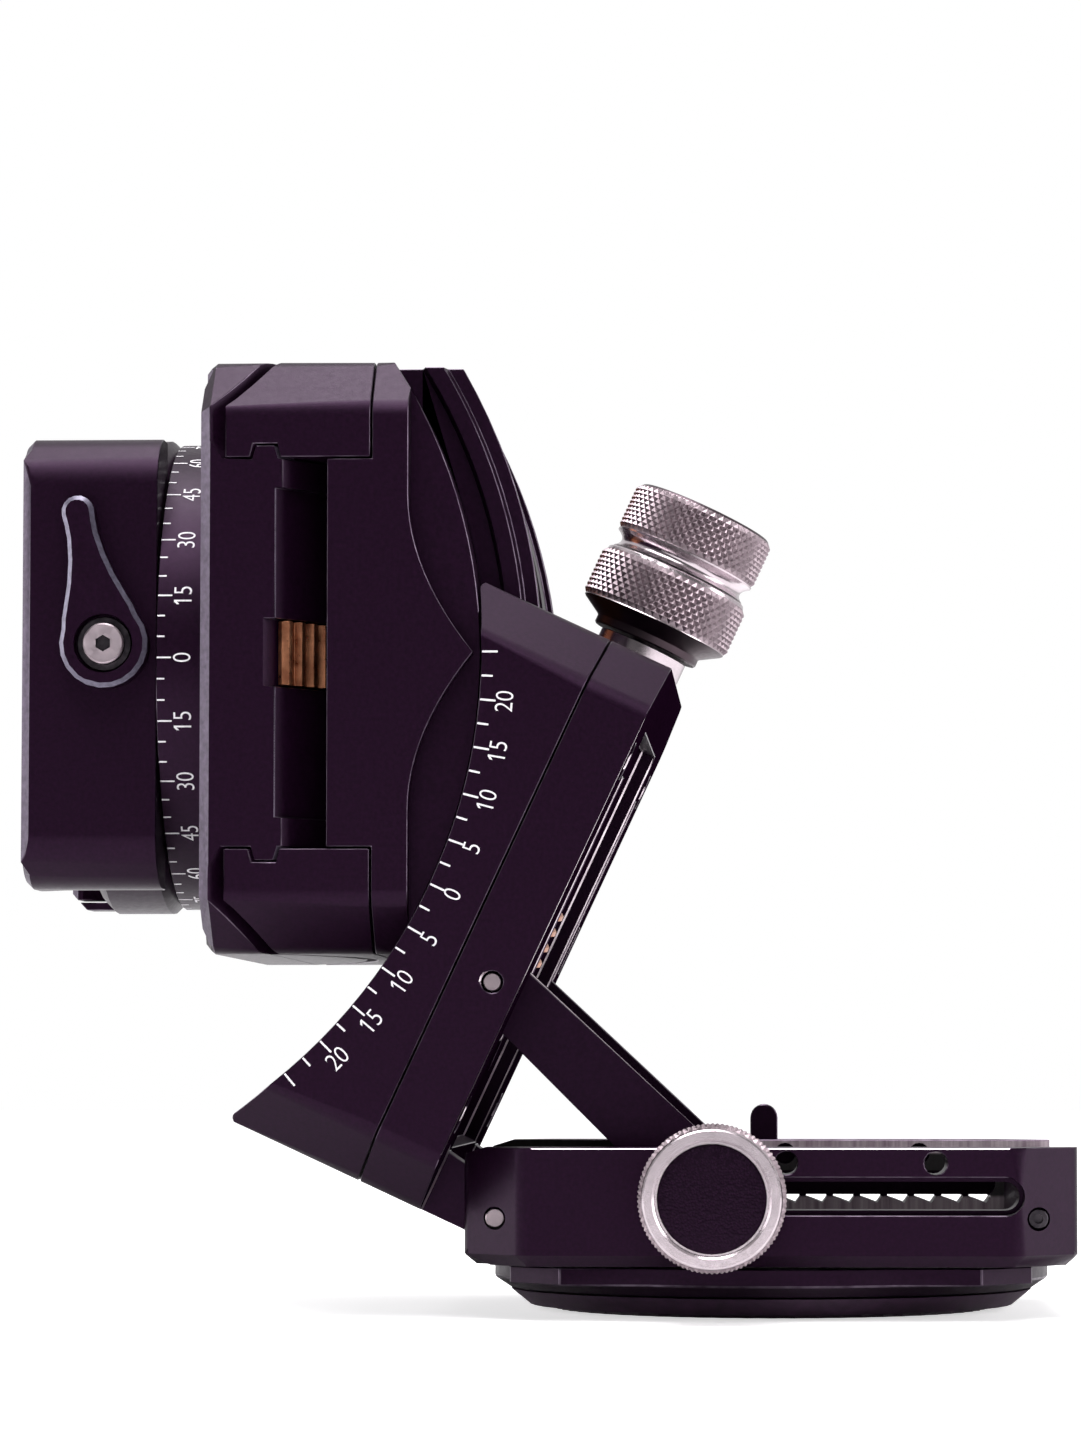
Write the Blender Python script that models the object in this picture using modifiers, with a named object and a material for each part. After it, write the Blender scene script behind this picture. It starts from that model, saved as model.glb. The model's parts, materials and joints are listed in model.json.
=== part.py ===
"""Geared tripod head on a folding base.

Lengths are in metres. +X is right and +Y is away from the viewer who faces the scales.
The origin is the centre of the face that rests on the tripod.
At rest the fold is fully open, the lower arc is at the 25 degree end of its scale,
and the upper arc, the pan unit and the clamp are at their middle positions.
"""

import math

import bmesh
import bpy
from mathutils import Matrix, Vector

mm = 0.001

# Angles
fold_open_angle = math.radians(65)
front_tilt_angle = math.radians(25)

# Shared sizes
stage_side = 80.0 * mm
corner_cut = 7.0 * mm
fit_gap = 0.3 * mm
cut_overrun = 1.2 * mm
slide_gap = 0.3 * mm
weld_gap = 0.01 * mm

# Tripod pad, base disc and bushing
pad_radius = 30.3 * mm
pad_rib_depth = 0.35 * mm
pad_rib_height = 0.6 * mm
pad_rib_count = 60
pad_height = 2.8 * mm
pad_low_radius = 33.7 * mm
pad_high_radius = 36.4 * mm
disc_radius = 38.7 * mm
disc_low_radius = 36.6 * mm
disc_cone_height = 1.4 * mm
disc_rim_height = 2.4 * mm
disc_square_side = 70.0 * mm
bushing_radius = 7.5 * mm
bushing_bore_radius = 4.2 * mm
base_screw_x = 8.0 * mm
base_screw_inset = 2.0 * mm
screw_head_radius = 2.4 * mm
screw_head_height = 1.5 * mm
screw_shank_radius = 1.5 * mm
screw_grip_length = 6.0 * mm
screw_socket_radius = 1.2 * mm
screw_socket_depth = 0.9 * mm

# Base frame
base_frame_height = 15.7 * mm
base_overhang = 0.9 * mm
base_corner_cut = 8.1 * mm
base_frame_chamfer = 1.5 * mm
rail_thickness = 9.0 * mm
base_end_wall = 6.9 * mm
base_end_drop = 2.6 * mm
hinge_relief_length = 3.0 * mm
hinge_relief_depth = 0.93 * mm
base_sill_length = 8.0 * mm
base_sill_height = 1.6 * mm
arm_pocket_wall = 2.3 * mm

# Fold hinge
fold_pin_inset = 3.4 * mm
fold_pin_drop = 9.4 * mm
fold_pin_radius = 1.26 * mm
pin_end_inset = 0.3 * mm
fold_pin_sink = 1.0 * mm

# Slot and lock shaft
slot_drop = 6.4 * mm
slot_radius = 2.5 * mm
slot_outer_depth = 3.5 * mm
slot_inner_radius = 1.9 * mm
slot_far_depth = 4.0 * mm
lock_rest_x = 7.5 * mm
lock_shaft_radius = 1.6 * mm

# Notches seen through the slot, in the far rail
notch_pitch = 4.0 * mm
notch_width = 3.0 * mm
notch_top_drop = 8.1 * mm
notch_depth = 1.15 * mm
notch_count = 10
notch_right_x = 32.2 * mm

# Small holes and end screws of the base frame
rail_hole_radius = 1.55 * mm
rail_hole_drop = 2.0 * mm
rail_hole_xs = (2.1 * mm, 21.8 * mm)
end_screw_inset = 4.6 * mm
end_screw_drop = 9.4 * mm
end_screw_radius = 1.3 * mm
end_screw_length = 4.6 * mm
end_screw_sink = 0.9 * mm

# Locating tab on the far rail
tab_x = -1.0 * mm
tab_width = 4.05 * mm
tab_thickness = 2.6 * mm
tab_rise = 5.2 * mm
tab_root = 3.0 * mm

# Lock knob
lock_knob_radius = 9.75 * mm
lock_knob_length = 13.6 * mm
lock_knob_back_radius = 8.2 * mm
lock_knob_back_length = 1.8 * mm
lock_knob_bevel = 0.9 * mm
lock_inset_radius = 7.1 * mm
lock_inset_depth = 1.4 * mm
lock_inset_crown = 0.5 * mm
lock_bore_length = 7.0 * mm

# Tilting frame
frame_block_height = 8.9 * mm
frame_recess_depth = 2.2 * mm
frame_recess_end = 9.0 * mm
frame_recess_wall = 1.0 * mm
arm_slot_start = 25.0 * mm
arm_slot_end = 64.0 * mm
arm_slot_web = 0.8 * mm
bearing_boss_half_width = 9.0 * mm
bearing_boss_length = 10.8 * mm
bearing_boss_rise = 5.0 * mm
lug_root_width = 8.6 * mm
lug_thickness = 6.0 * mm
cradle_screw_inset = 14.0 * mm
cradle_screw_y = 34.6 * mm

# Lower arc
foot_clearance = 0.5 * mm
arc_overrun_angle = math.radians(7)
lower_radius = 73.0 * mm
cradle_inner = 26.2 * mm
cradle_tip_round = 0.8 * mm
ridge_reach = 1.8 * mm
ridge_slope = 0.4 * mm
lower_ridge_start = 2.5 * mm
ridge_width = 3.0 * mm
lower_body_depth = 7.3 * mm
body_foot_width = 3.9 * mm
body_foot_depth = 0.8 * mm
lower_channel_half_width = 6.4 * mm
lower_channel_depth = 5.8 * mm
wing_recess = 2.9 * mm

# Middle block
middle_clearance = 9.8 * mm
seam_height = 5.1 * mm
middle_rib_height = 5.7 * mm
pointer_reach = 8.7 * mm
pointer_half_width = 21.0 * mm
pointer_thickness = 2.6 * mm
pointer_power = 1.95

# Upper arc
cradle_floor = 2.4 * mm
plate_relief_depth = 1.2 * mm
plate_relief_reach = 2.6 * mm
upper_ridge_start = 2.5 * mm
upper_ridge_width = 2.6 * mm
upper_body_depth = 5.9 * mm
plate_rim = 3.46 * mm
plate_bevel = 1.4 * mm

# Racks and worms
rack_width = 8.5 * mm
rack_height = 1.6 * mm
tooth_pitch = 2.4 * mm
tooth_depth = 0.9 * mm
lower_rack_reach = 3.7 * mm
worm_shaft_radius = 1.9 * mm
lower_worm_radius = 5.9 * mm
upper_worm_radius = 5.4 * mm
worm_length = 10.0 * mm
worm_starts = 2
worm_bush_radius = 3.4 * mm
worm_bush_length = 6.0 * mm
worm_tail_length = 7.0 * mm

# Drive knobs
collar_radius = 6.5 * mm
collar_length = 3.0 * mm
ring_boss_radius = 7.8 * mm
ring_boss_length = 1.3 * mm
ring_cone_length = 2.3 * mm
ring_radius = 11.15 * mm
ring_length = 7.2 * mm
neck_radius = 8.6 * mm
neck_length = 2.4 * mm
drive_radius = 10.55 * mm
drive_length = 7.1 * mm
drive_bevel = 0.8 * mm
drive_bore_length = 6.0 * mm

# Fold link
link_pin_along = 31.7 * mm
link_pin_height = 3.63 * mm
link_pin_radius = 1.2 * mm
link_top_width = 8.4 * mm
link_low_width = 9.8 * mm
link_thickness = 4.3 * mm
link_eye_radius = 7.3 * mm
link_eye_bore = 5.95 * mm
link_spacer_radius = 2.2 * mm
link_spacer_share = 0.68

# Pan unit
pan_ring_height = 6.7 * mm
pan_ring_radius = 32.9 * mm
pan_ring_bore = 24.0 * mm
spindle_flange_height = 3.6 * mm
spindle_radius = 9.7 * mm
spindle_height = 9.0 * mm
pan_knob_radius = 4.6 * mm
pan_knob_length = 6.6 * mm
pan_knob_shaft_radius = 1.5 * mm
pan_knob_drop = 3.2 * mm

# Clamp
jaw_height = 8.0 * mm
clamp_half_length = 30.9 * mm
clamp_half_width = 30.0 * mm
clamp_end_cut = 4.7 * mm
clamp_edge_bevel = 1.2 * mm
rotor_radius = 33.5 * mm
rotor_height = 10.8 * mm
rotor_bevel = 1.4 * mm
dovetail_half_top = 16.6 * mm
dovetail_half_low = 19.4 * mm
dovetail_lip = 1.6 * mm
dovetail_slope = 3.4 * mm
jaw_seat_half = 19.7 * mm
guide_pin_radius = 1.6 * mm
guide_pin_x = 20.0 * mm
guide_pin_drop = 5.4 * mm
guide_pin_reach = 9.0 * mm

# Clamp lever
lever_x = 1.9 * mm
lever_drop = 11.7 * mm
lever_hub_radius = 6.0 * mm
lever_tip_radius = 2.2 * mm
lever_tip_x = 19.8 * mm
lever_tip_lean = 3.6 * mm
lever_thickness = 3.3 * mm
lever_neck = (
    (3.0 * mm, 5.2 * mm),
    (4.5 * mm, 4.85 * mm),
    (6.0 * mm, 4.3 * mm),
    (9.0 * mm, 3.25 * mm),
    (12.0 * mm, 2.5 * mm),
    (14.9 * mm, 2.1 * mm),
    (16.7 * mm, 2.1 * mm),
)
lever_screw_radius = 2.75 * mm
lever_screw_height = 2.0 * mm
lever_washer_radius = 3.7 * mm
lever_washer_height = 0.7 * mm
cam_shaft_radius = 2.4 * mm
cam_shaft_reach = 19.3 * mm

# Stop plate on the clamp's lower end
stop_start = 1.0 * mm
stop_length = 4.0 * mm
stop_slant = 1.0 * mm
stop_height = 1.1 * mm
stop_inner = 18.0 * mm
stop_outer = 24.5 * mm

# Places worked out from the sizes
half_side = stage_side / 2
base_end = half_side + base_overhang
disc_low = pad_height + fit_gap
disc_top = disc_low + disc_cone_height + disc_rim_height
base_low = disc_top + fit_gap
base_top = base_low + base_frame_height
rail_inner = half_side - rail_thickness
fold_x = fold_pin_inset - half_side
fold_z = base_top - fold_pin_drop
hinge_drop = fold_pin_drop + fit_gap
slot_z = base_top - slot_drop
cradle_low = frame_block_height + fit_gap
body_half = cradle_inner - slide_gap
arc_centre_height = lower_radius + lower_body_depth + foot_clearance + frame_block_height
lower_tip_angle = math.asin(half_side / lower_radius)
lower_rack_radius = lower_radius + lower_rack_reach
middle_bottom = lower_radius - middle_clearance
cradle_seam = middle_bottom - seam_height
middle_top = cradle_seam - middle_rib_height
upper_radius = cradle_seam - cradle_floor
upper_tip_angle = math.asin(half_side / upper_radius)
upper_tip_depth = upper_radius * math.cos(upper_tip_angle)
plate_top = upper_tip_depth - plate_rim
pan_ring_top = plate_top - pan_ring_height
pan_knob_depth = pan_ring_top + pan_knob_drop
spindle_top = pan_ring_top - spindle_height
rotor_top = pan_ring_top - rotor_height
guide_pin_depth = rotor_top + guide_pin_drop
clamp_top = rotor_top - jaw_height
lever_depth = clamp_top + lever_drop
stop_low_depth = clamp_top + stop_start
stop_high_depth = stop_low_depth + stop_length
worm_height = arc_centre_height - lower_rack_radius - slide_gap - lower_worm_radius
upper_body_radius = upper_radius - slide_gap + upper_body_depth
upper_rack_radius = upper_body_radius
upper_worm_depth = upper_rack_radius + slide_gap + upper_worm_radius
arm_outer = rail_inner - fit_gap
arm_inner = arm_outer - link_thickness
link_offset_x = link_pin_along - fold_pin_inset
link_offset_z = link_pin_height + hinge_drop
link_reach_x = (
    link_offset_x * math.cos(fold_open_angle)
    - link_offset_z * math.sin(fold_open_angle)
    + fold_x
    + lock_rest_x
)
link_reach_z = (
    link_offset_x * math.sin(fold_open_angle)
    + link_offset_z * math.cos(fold_open_angle)
    + fold_z
    - slot_z
)
link_length = math.hypot(link_reach_x, link_reach_z)
link_angle = math.atan2(link_reach_z, -link_reach_x)
closed_pin_x = fold_x + link_offset_x
closed_pin_z = fold_z + link_offset_z
lock_closed_x = closed_pin_x + math.sqrt(link_length**2 - (closed_pin_z - slot_z) ** 2)

round_steps = 36
small_round_steps = 16
arc_steps = 24


def clear_scene():
    for obj in list(bpy.data.objects):
        bpy.data.objects.remove(obj, do_unlink=True)


def add_collection(name):
    collection = bpy.data.collections.new(name)
    bpy.context.scene.collection.children.link(collection)
    return collection


clear_scene()
parts = add_collection("geared_tripod_head")
cutters = add_collection("cutters")


def make_material(name, colour, roughness, metallic):
    material = bpy.data.materials.new(name)
    material.use_nodes = True
    shader = material.node_tree.nodes["Principled BSDF"]
    shader.inputs["Base Color"].default_value = (*colour, 1.0)
    shader.inputs["Roughness"].default_value = roughness
    shader.inputs["Metallic"].default_value = metallic
    return material


def add_empty(name, parent, location, rotation=(0, 0, 0)):
    """An empty that carries the pieces of one moving body, on its joint's axis."""
    empty = bpy.data.objects.new(name, None)
    parts.objects.link(empty)
    empty.parent = parent
    empty.location = location
    empty.rotation_euler = rotation
    empty.empty_display_size = half_side / 4
    return empty


def add_object(name, mesh, parent, location=(0, 0, 0), rotation=(0, 0, 0)):
    obj = bpy.data.objects.new(name, mesh)
    parts.objects.link(obj)
    obj.parent = parent
    obj.location = location
    obj.rotation_euler = rotation
    return obj


def mesh_from(bm, name):
    mesh = bpy.data.meshes.new(name)
    bm.to_mesh(mesh)
    bm.free()
    return mesh


def as_helper(obj):
    """Puts a cutter or a joined shape in the cutters' collection, out of the render."""
    parts.objects.unlink(obj)
    cutters.objects.link(obj)
    obj.hide_render = True
    obj.display_type = "WIRE"
    return obj


def combine(obj, helper, operation):
    as_helper(helper)
    modifier = obj.modifiers.new(f"{operation.lower()} {helper.name}", "BOOLEAN")
    modifier.operation = operation
    modifier.solver = "EXACT"
    modifier.object = helper


def cut(obj, helper):
    combine(obj, helper, "DIFFERENCE")


def join(obj, helper):
    combine(obj, helper, "UNION")


def keep_inside(obj, helper):
    combine(obj, helper, "INTERSECT")


def box(name, parent, low, high):
    """A box between two corners."""
    bm = bmesh.new()
    bmesh.ops.create_cube(bm, size=1)
    bmesh.ops.scale(bm, vec=[b - a for a, b in zip(low, high)], verts=bm.verts)
    centre = [(a + b) / 2 for a, b in zip(low, high)]
    return add_object(name, mesh_from(bm, name), parent, centre)


axis_turns = {"X": (0, math.pi / 2, 0), "Y": (-math.pi / 2, 0, 0), "Z": (0, 0, 0)}


def rod(name, parent, radius, start, length, axis, steps=small_round_steps):
    """A cylinder that runs from a point along X, Y or Z."""
    bm = bmesh.new()
    bmesh.ops.create_cone(
        bm, cap_ends=True, segments=steps, radius1=radius, radius2=radius, depth=length
    )
    centre = list(start)
    centre["XYZ".index(axis)] += length / 2
    obj = add_object(name, mesh_from(bm, name), parent, centre, axis_turns[axis])
    obj.data.shade_smooth()
    obj.data.set_sharp_from_angle(angle=math.radians(30))
    return obj


def turned(name, parent, profile, location, axis="Z", closed=False, steps=round_steps):
    """A turned shape: (radius, height) points down its outer side, spun round its axis."""
    mesh = bpy.data.meshes.new(name)
    points = [(radius, 0, height) for radius, height in profile]
    edges = [(i, i + 1) for i in range(len(points) - 1)]
    if closed:
        edges.append((len(points) - 1, 0))
    mesh.from_pydata(points, edges, [])
    obj = add_object(name, mesh, parent, location, axis_turns[axis])
    screw = obj.modifiers.new("turn", "SCREW")
    screw.axis = "Z"
    screw.steps = steps
    screw.render_steps = steps
    screw.use_merge_vertices = True
    screw.merge_threshold = weld_gap
    screw.use_smooth_shade = True
    return obj


plane_turns = {
    "XY": (0, 0, 0),
    "XZ": (math.pi / 2, 0, 0),
    "YZ": (math.pi / 2, 0, math.pi / 2),
}


def slab(name, parent, outline, low, high, plane):
    """A flat outline in a plane, made thick from low to high along the third axis."""
    curve = bpy.data.curves.new(name, "CURVE")
    curve.dimensions = "2D"
    curve.fill_mode = "BOTH"
    curve.extrude = (high - low) / 2
    spline = curve.splines.new("POLY")
    spline.points.add(len(outline) - 1)
    for point, (a, b) in zip(spline.points, outline):
        point.co = (a, b, 0, 1)
    spline.use_cyclic_u = True
    flat = add_object(name + "_outline", curve, None)
    bpy.context.view_layer.update()
    graph = bpy.context.evaluated_depsgraph_get()
    mesh = bpy.data.meshes.new_from_object(flat.evaluated_get(graph))
    bpy.data.objects.remove(flat, do_unlink=True)
    bm = bmesh.new()
    bm.from_mesh(mesh)
    bmesh.ops.remove_doubles(bm, verts=bm.verts, dist=weld_gap / 5)
    bmesh.ops.recalc_face_normals(bm, faces=bm.faces)
    bpy.data.meshes.remove(mesh)
    location = [0, 0, 0]
    location["XYZ".index(({"X", "Y", "Z"} - set(plane)).pop())] = (low + high) / 2
    return add_object(name, mesh_from(bm, name), parent, location, plane_turns[plane])


def swept(name, parent, section, half_angle, axis, steps=arc_steps):
    """A closed (radius, along) section swung about X or Y, centred on straight down."""
    along = {"X": (1, 0, 0), "Y": (0, 1, 0)}[axis]
    start = Matrix.Rotation(-half_angle, 3, axis)
    bm = bmesh.new()
    verts = []
    for radius, offset in section:
        spot = (offset, 0, -radius) if axis == "X" else (0, offset, -radius)
        verts.append(bm.verts.new(start @ Vector(spot)))
    face = bm.faces.new(verts)
    bmesh.ops.spin(
        bm,
        geom=[face, *face.edges, *face.verts],
        cent=(0, 0, 0),
        axis=along,
        angle=2 * half_angle,
        steps=steps,
    )
    bmesh.ops.recalc_face_normals(bm, faces=bm.faces)
    return add_object(name, mesh_from(bm, name), parent)


def octagon(side, cut_length, length=None):
    """A rectangular outline with its corners cut off, square unless it has a length."""
    x = (length or side) / 2
    y = side / 2
    return [
        (x - cut_length, -y),
        (x, cut_length - y),
        (x, y - cut_length),
        (x - cut_length, y),
        (cut_length - x, y),
        (-x, y - cut_length),
        (-x, cut_length - y),
        (cut_length - x, -y),
    ]


def stadium(centre_a, centre_b, radius, steps=12):
    """The outline of a slot between two centres at the same height."""
    points = []
    for centre, first in ((centre_b, -math.pi / 2), (centre_a, math.pi / 2)):
        for i in range(steps + 1):
            angle = first + math.pi * i / steps
            x = centre[0] + radius * math.cos(angle)
            points.append((x, centre[1] + radius * math.sin(angle)))
    return points


def arc_points(radius, first, last, steps, centre=(0, 0)):
    """Points along a circle, between two angles that are measured from straight down."""
    points = []
    for i in range(steps + 1):
        angle = first + (last - first) * i / steps
        x = centre[0] + radius * math.sin(angle)
        points.append((x, centre[1] - radius * math.cos(angle)))
    return points


def rounded_corner(before, corner, after, radius, steps=4):
    """Points that round the corner between two straight edges."""
    a = (Vector(before) - Vector(corner)).normalized()
    b = (Vector(after) - Vector(corner)).normalized()
    half = a.angle(b) / 2
    centre = Vector(corner) + (a + b).normalized() * radius / math.sin(half)
    first = Vector(corner) + a * radius / math.tan(half) - centre
    last = Vector(corner) + b * radius / math.tan(half) - centre
    turn = first.angle_signed(last)
    points = []
    for i in range(steps + 1):
        spoke = first.copy()
        spoke.rotate(Matrix.Rotation(-turn * i / steps, 2))
        points.append(tuple(centre + spoke))
    return points


def bevel_edges(obj, chosen, width):
    """Cuts a flat chamfer along the edges that a test on their two ends picks."""
    bm = bmesh.new()
    bm.from_mesh(obj.data)
    edges = [edge for edge in bm.edges if all(chosen(vert.co) for vert in edge.verts)]
    bmesh.ops.bevel(
        bm, geom=edges, offset=width, offset_type="OFFSET", segments=1, affect="EDGES"
    )
    bm.to_mesh(obj.data)
    bm.free()


def toothed_outline(inner_radius, tip_radius, pitch, depth, half_angle):
    """A rack's side view: a ring sector whose outer edge carries trapezoid teeth."""
    root_radius = tip_radius - depth
    count = int(2 * half_angle / (pitch / tip_radius))
    step = 2 * half_angle / count
    flank_shares = ((0.0, 0), (0.2, 1), (0.5, 1), (0.7, 0))
    points = []
    for i in range(count):
        for share, raised in flank_shares:
            angle = -half_angle + step * (i + share)
            radius = tip_radius if raised else root_radius
            points.append((radius * math.sin(angle), -radius * math.cos(angle)))
    points += arc_points(root_radius, half_angle, half_angle, 1)[:1]
    points += arc_points(inner_radius, half_angle, -half_angle, arc_steps)
    return points


def worm(name, parent, radius, bore, length, around_steps=16, steps_per_pitch=7):
    """A worm: a tube whose outside follows its thread, centred on its axis."""
    root = radius - tooth_depth
    along_steps = round(length / tooth_pitch * steps_per_pitch)
    crest_share = 0.3
    flank_share = 0.2
    bm = bmesh.new()
    loops = []
    for j in range(around_steps):
        around = 2 * math.pi * j / around_steps
        loop = []
        for k in range(along_steps + 1):
            z = length * (k / along_steps - 0.5)
            phase = (z / tooth_pitch - worm_starts * j / around_steps) % 1.0
            height = (0.5 - abs(phase - 0.5) - (0.5 - crest_share / 2 - flank_share)) / flank_share
            r = root + tooth_depth * min(max(height, 0.0), 1.0)
            loop.append(bm.verts.new((r * math.cos(around), r * math.sin(around), z)))
        for z in (length / 2, -length / 2):
            spot = (bore * math.cos(around), bore * math.sin(around), z)
            loop.append(bm.verts.new(spot))
        loops.append(loop)
    for j in range(around_steps):
        near = loops[j]
        far = loops[(j + 1) % around_steps]
        for k in range(len(near)):
            after = (k + 1) % len(near)
            bm.faces.new((near[k], far[k], far[after], near[after]))
    bmesh.ops.recalc_face_normals(bm, faces=bm.faces)
    return add_object(name, mesh_from(bm, name), parent)


def ring_profile(outer, inner, low, high):
    """The closed profile of a plain tube."""
    return [(outer, high), (outer, low), (inner, low), (inner, high)]


def screw_profile(head_radius, head_height, shank_radius, length):
    """A socket screw pointing down from its head at zero height."""
    socket = screw_socket_radius
    return [
        (0, -screw_socket_depth),
        (socket, -screw_socket_depth),
        (socket, 0),
        (head_radius, 0),
        (head_radius, -head_height),
        (shank_radius, -head_height),
        (shank_radius, -length),
        (0, -length),
    ]


# Tripod pad, base disc, bushing and the screws from below


def make_tripod_pad(parent):
    outline = []
    for i in range(pad_rib_count * 2):
        angle = math.pi * i / pad_rib_count
        radius = pad_radius - pad_rib_depth * (i % 2)
        outline.append((radius * math.cos(angle), radius * math.sin(angle)))
    pad = slab("tripod_pad", parent, outline, 0, pad_height / 2, "XY")
    profile = [
        (0, pad_height),
        (pad_high_radius, pad_height),
        (pad_low_radius, pad_rib_height),
        (0, pad_rib_height),
    ]
    join(pad, turned("pad_cone", parent, profile, (0, 0, 0), steps=48))
    bore = rod(
        "pad_bore",
        parent,
        bushing_radius + fit_gap,
        (0, 0, -cut_overrun),
        pad_height + 2 * cut_overrun,
        "Z",
        round_steps,
    )
    cut(pad, bore)
    return pad


def screw_places():
    reach = rail_inner + base_screw_inset
    return [(x, y) for x in (-base_screw_x, base_screw_x) for y in (-reach, reach)]


def make_base_disc(parent):
    profile = [
        (0, disc_top),
        (disc_radius, disc_top),
        (disc_radius, disc_low + disc_cone_height),
        (disc_low_radius, disc_low),
        (0, disc_low),
    ]
    disc = turned("base_disc", parent, profile, (0, 0, 0), steps=48)
    square = slab(
        "disc_square",
        parent,
        octagon(disc_square_side, corner_cut),
        disc_low + disc_cone_height,
        disc_top,
        "XY",
    )
    join(disc, square)
    bore = rod(
        "disc_bore",
        parent,
        bushing_radius + fit_gap,
        (0, 0, disc_low - cut_overrun),
        disc_top - disc_low + 2 * cut_overrun,
        "Z",
        round_steps,
    )
    cut(disc, bore)
    for i, (x, y) in enumerate(screw_places()):
        head_top = disc_low + disc_cone_height + screw_head_height + fit_gap
        wide = rod(
            f"disc_head_hole_{i}",
            parent,
            screw_head_radius + fit_gap,
            (x, y, disc_low - cut_overrun),
            head_top + cut_overrun - disc_low,
            "Z",
        )
        cut(disc, wide)
        narrow = rod(
            f"disc_shank_hole_{i}",
            parent,
            screw_shank_radius + fit_gap,
            (x, y, disc_low),
            disc_top + cut_overrun - disc_low,
            "Z",
        )
        cut(disc, narrow)
    return disc


def make_tripod_bushing(parent):
    profile = ring_profile(bushing_radius, bushing_bore_radius, 0, disc_top)
    return turned("tripod_bushing", parent, profile, (0, 0, 0), closed=True)


def make_base_screw(parent, number, x, y):
    low = disc_low + disc_cone_height
    profile = screw_profile(
        screw_head_radius,
        screw_head_height,
        screw_shank_radius,
        base_low + screw_grip_length - low,
    )
    turned_up = turned(
        f"base_screw_{number}", parent, profile, (x, y, low), steps=small_round_steps
    )
    turned_up.rotation_euler = (math.pi, 0, 0)
    return turned_up


# Base frame with its slots, notches and holes


def notch_outline(left):
    """One notch of the far rail: flat above, with a sloping scoop below."""
    top = base_top - notch_top_drop
    scoop_shares = ((1.0, 0.0), (0.0, 0.0), (0.0, 0.25), (0.35, 0.55), (0.8, 1.0), (1.0, 0.3))
    return [(left + notch_width * a, top - notch_depth * b) for a, b in scoop_shares]


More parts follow.
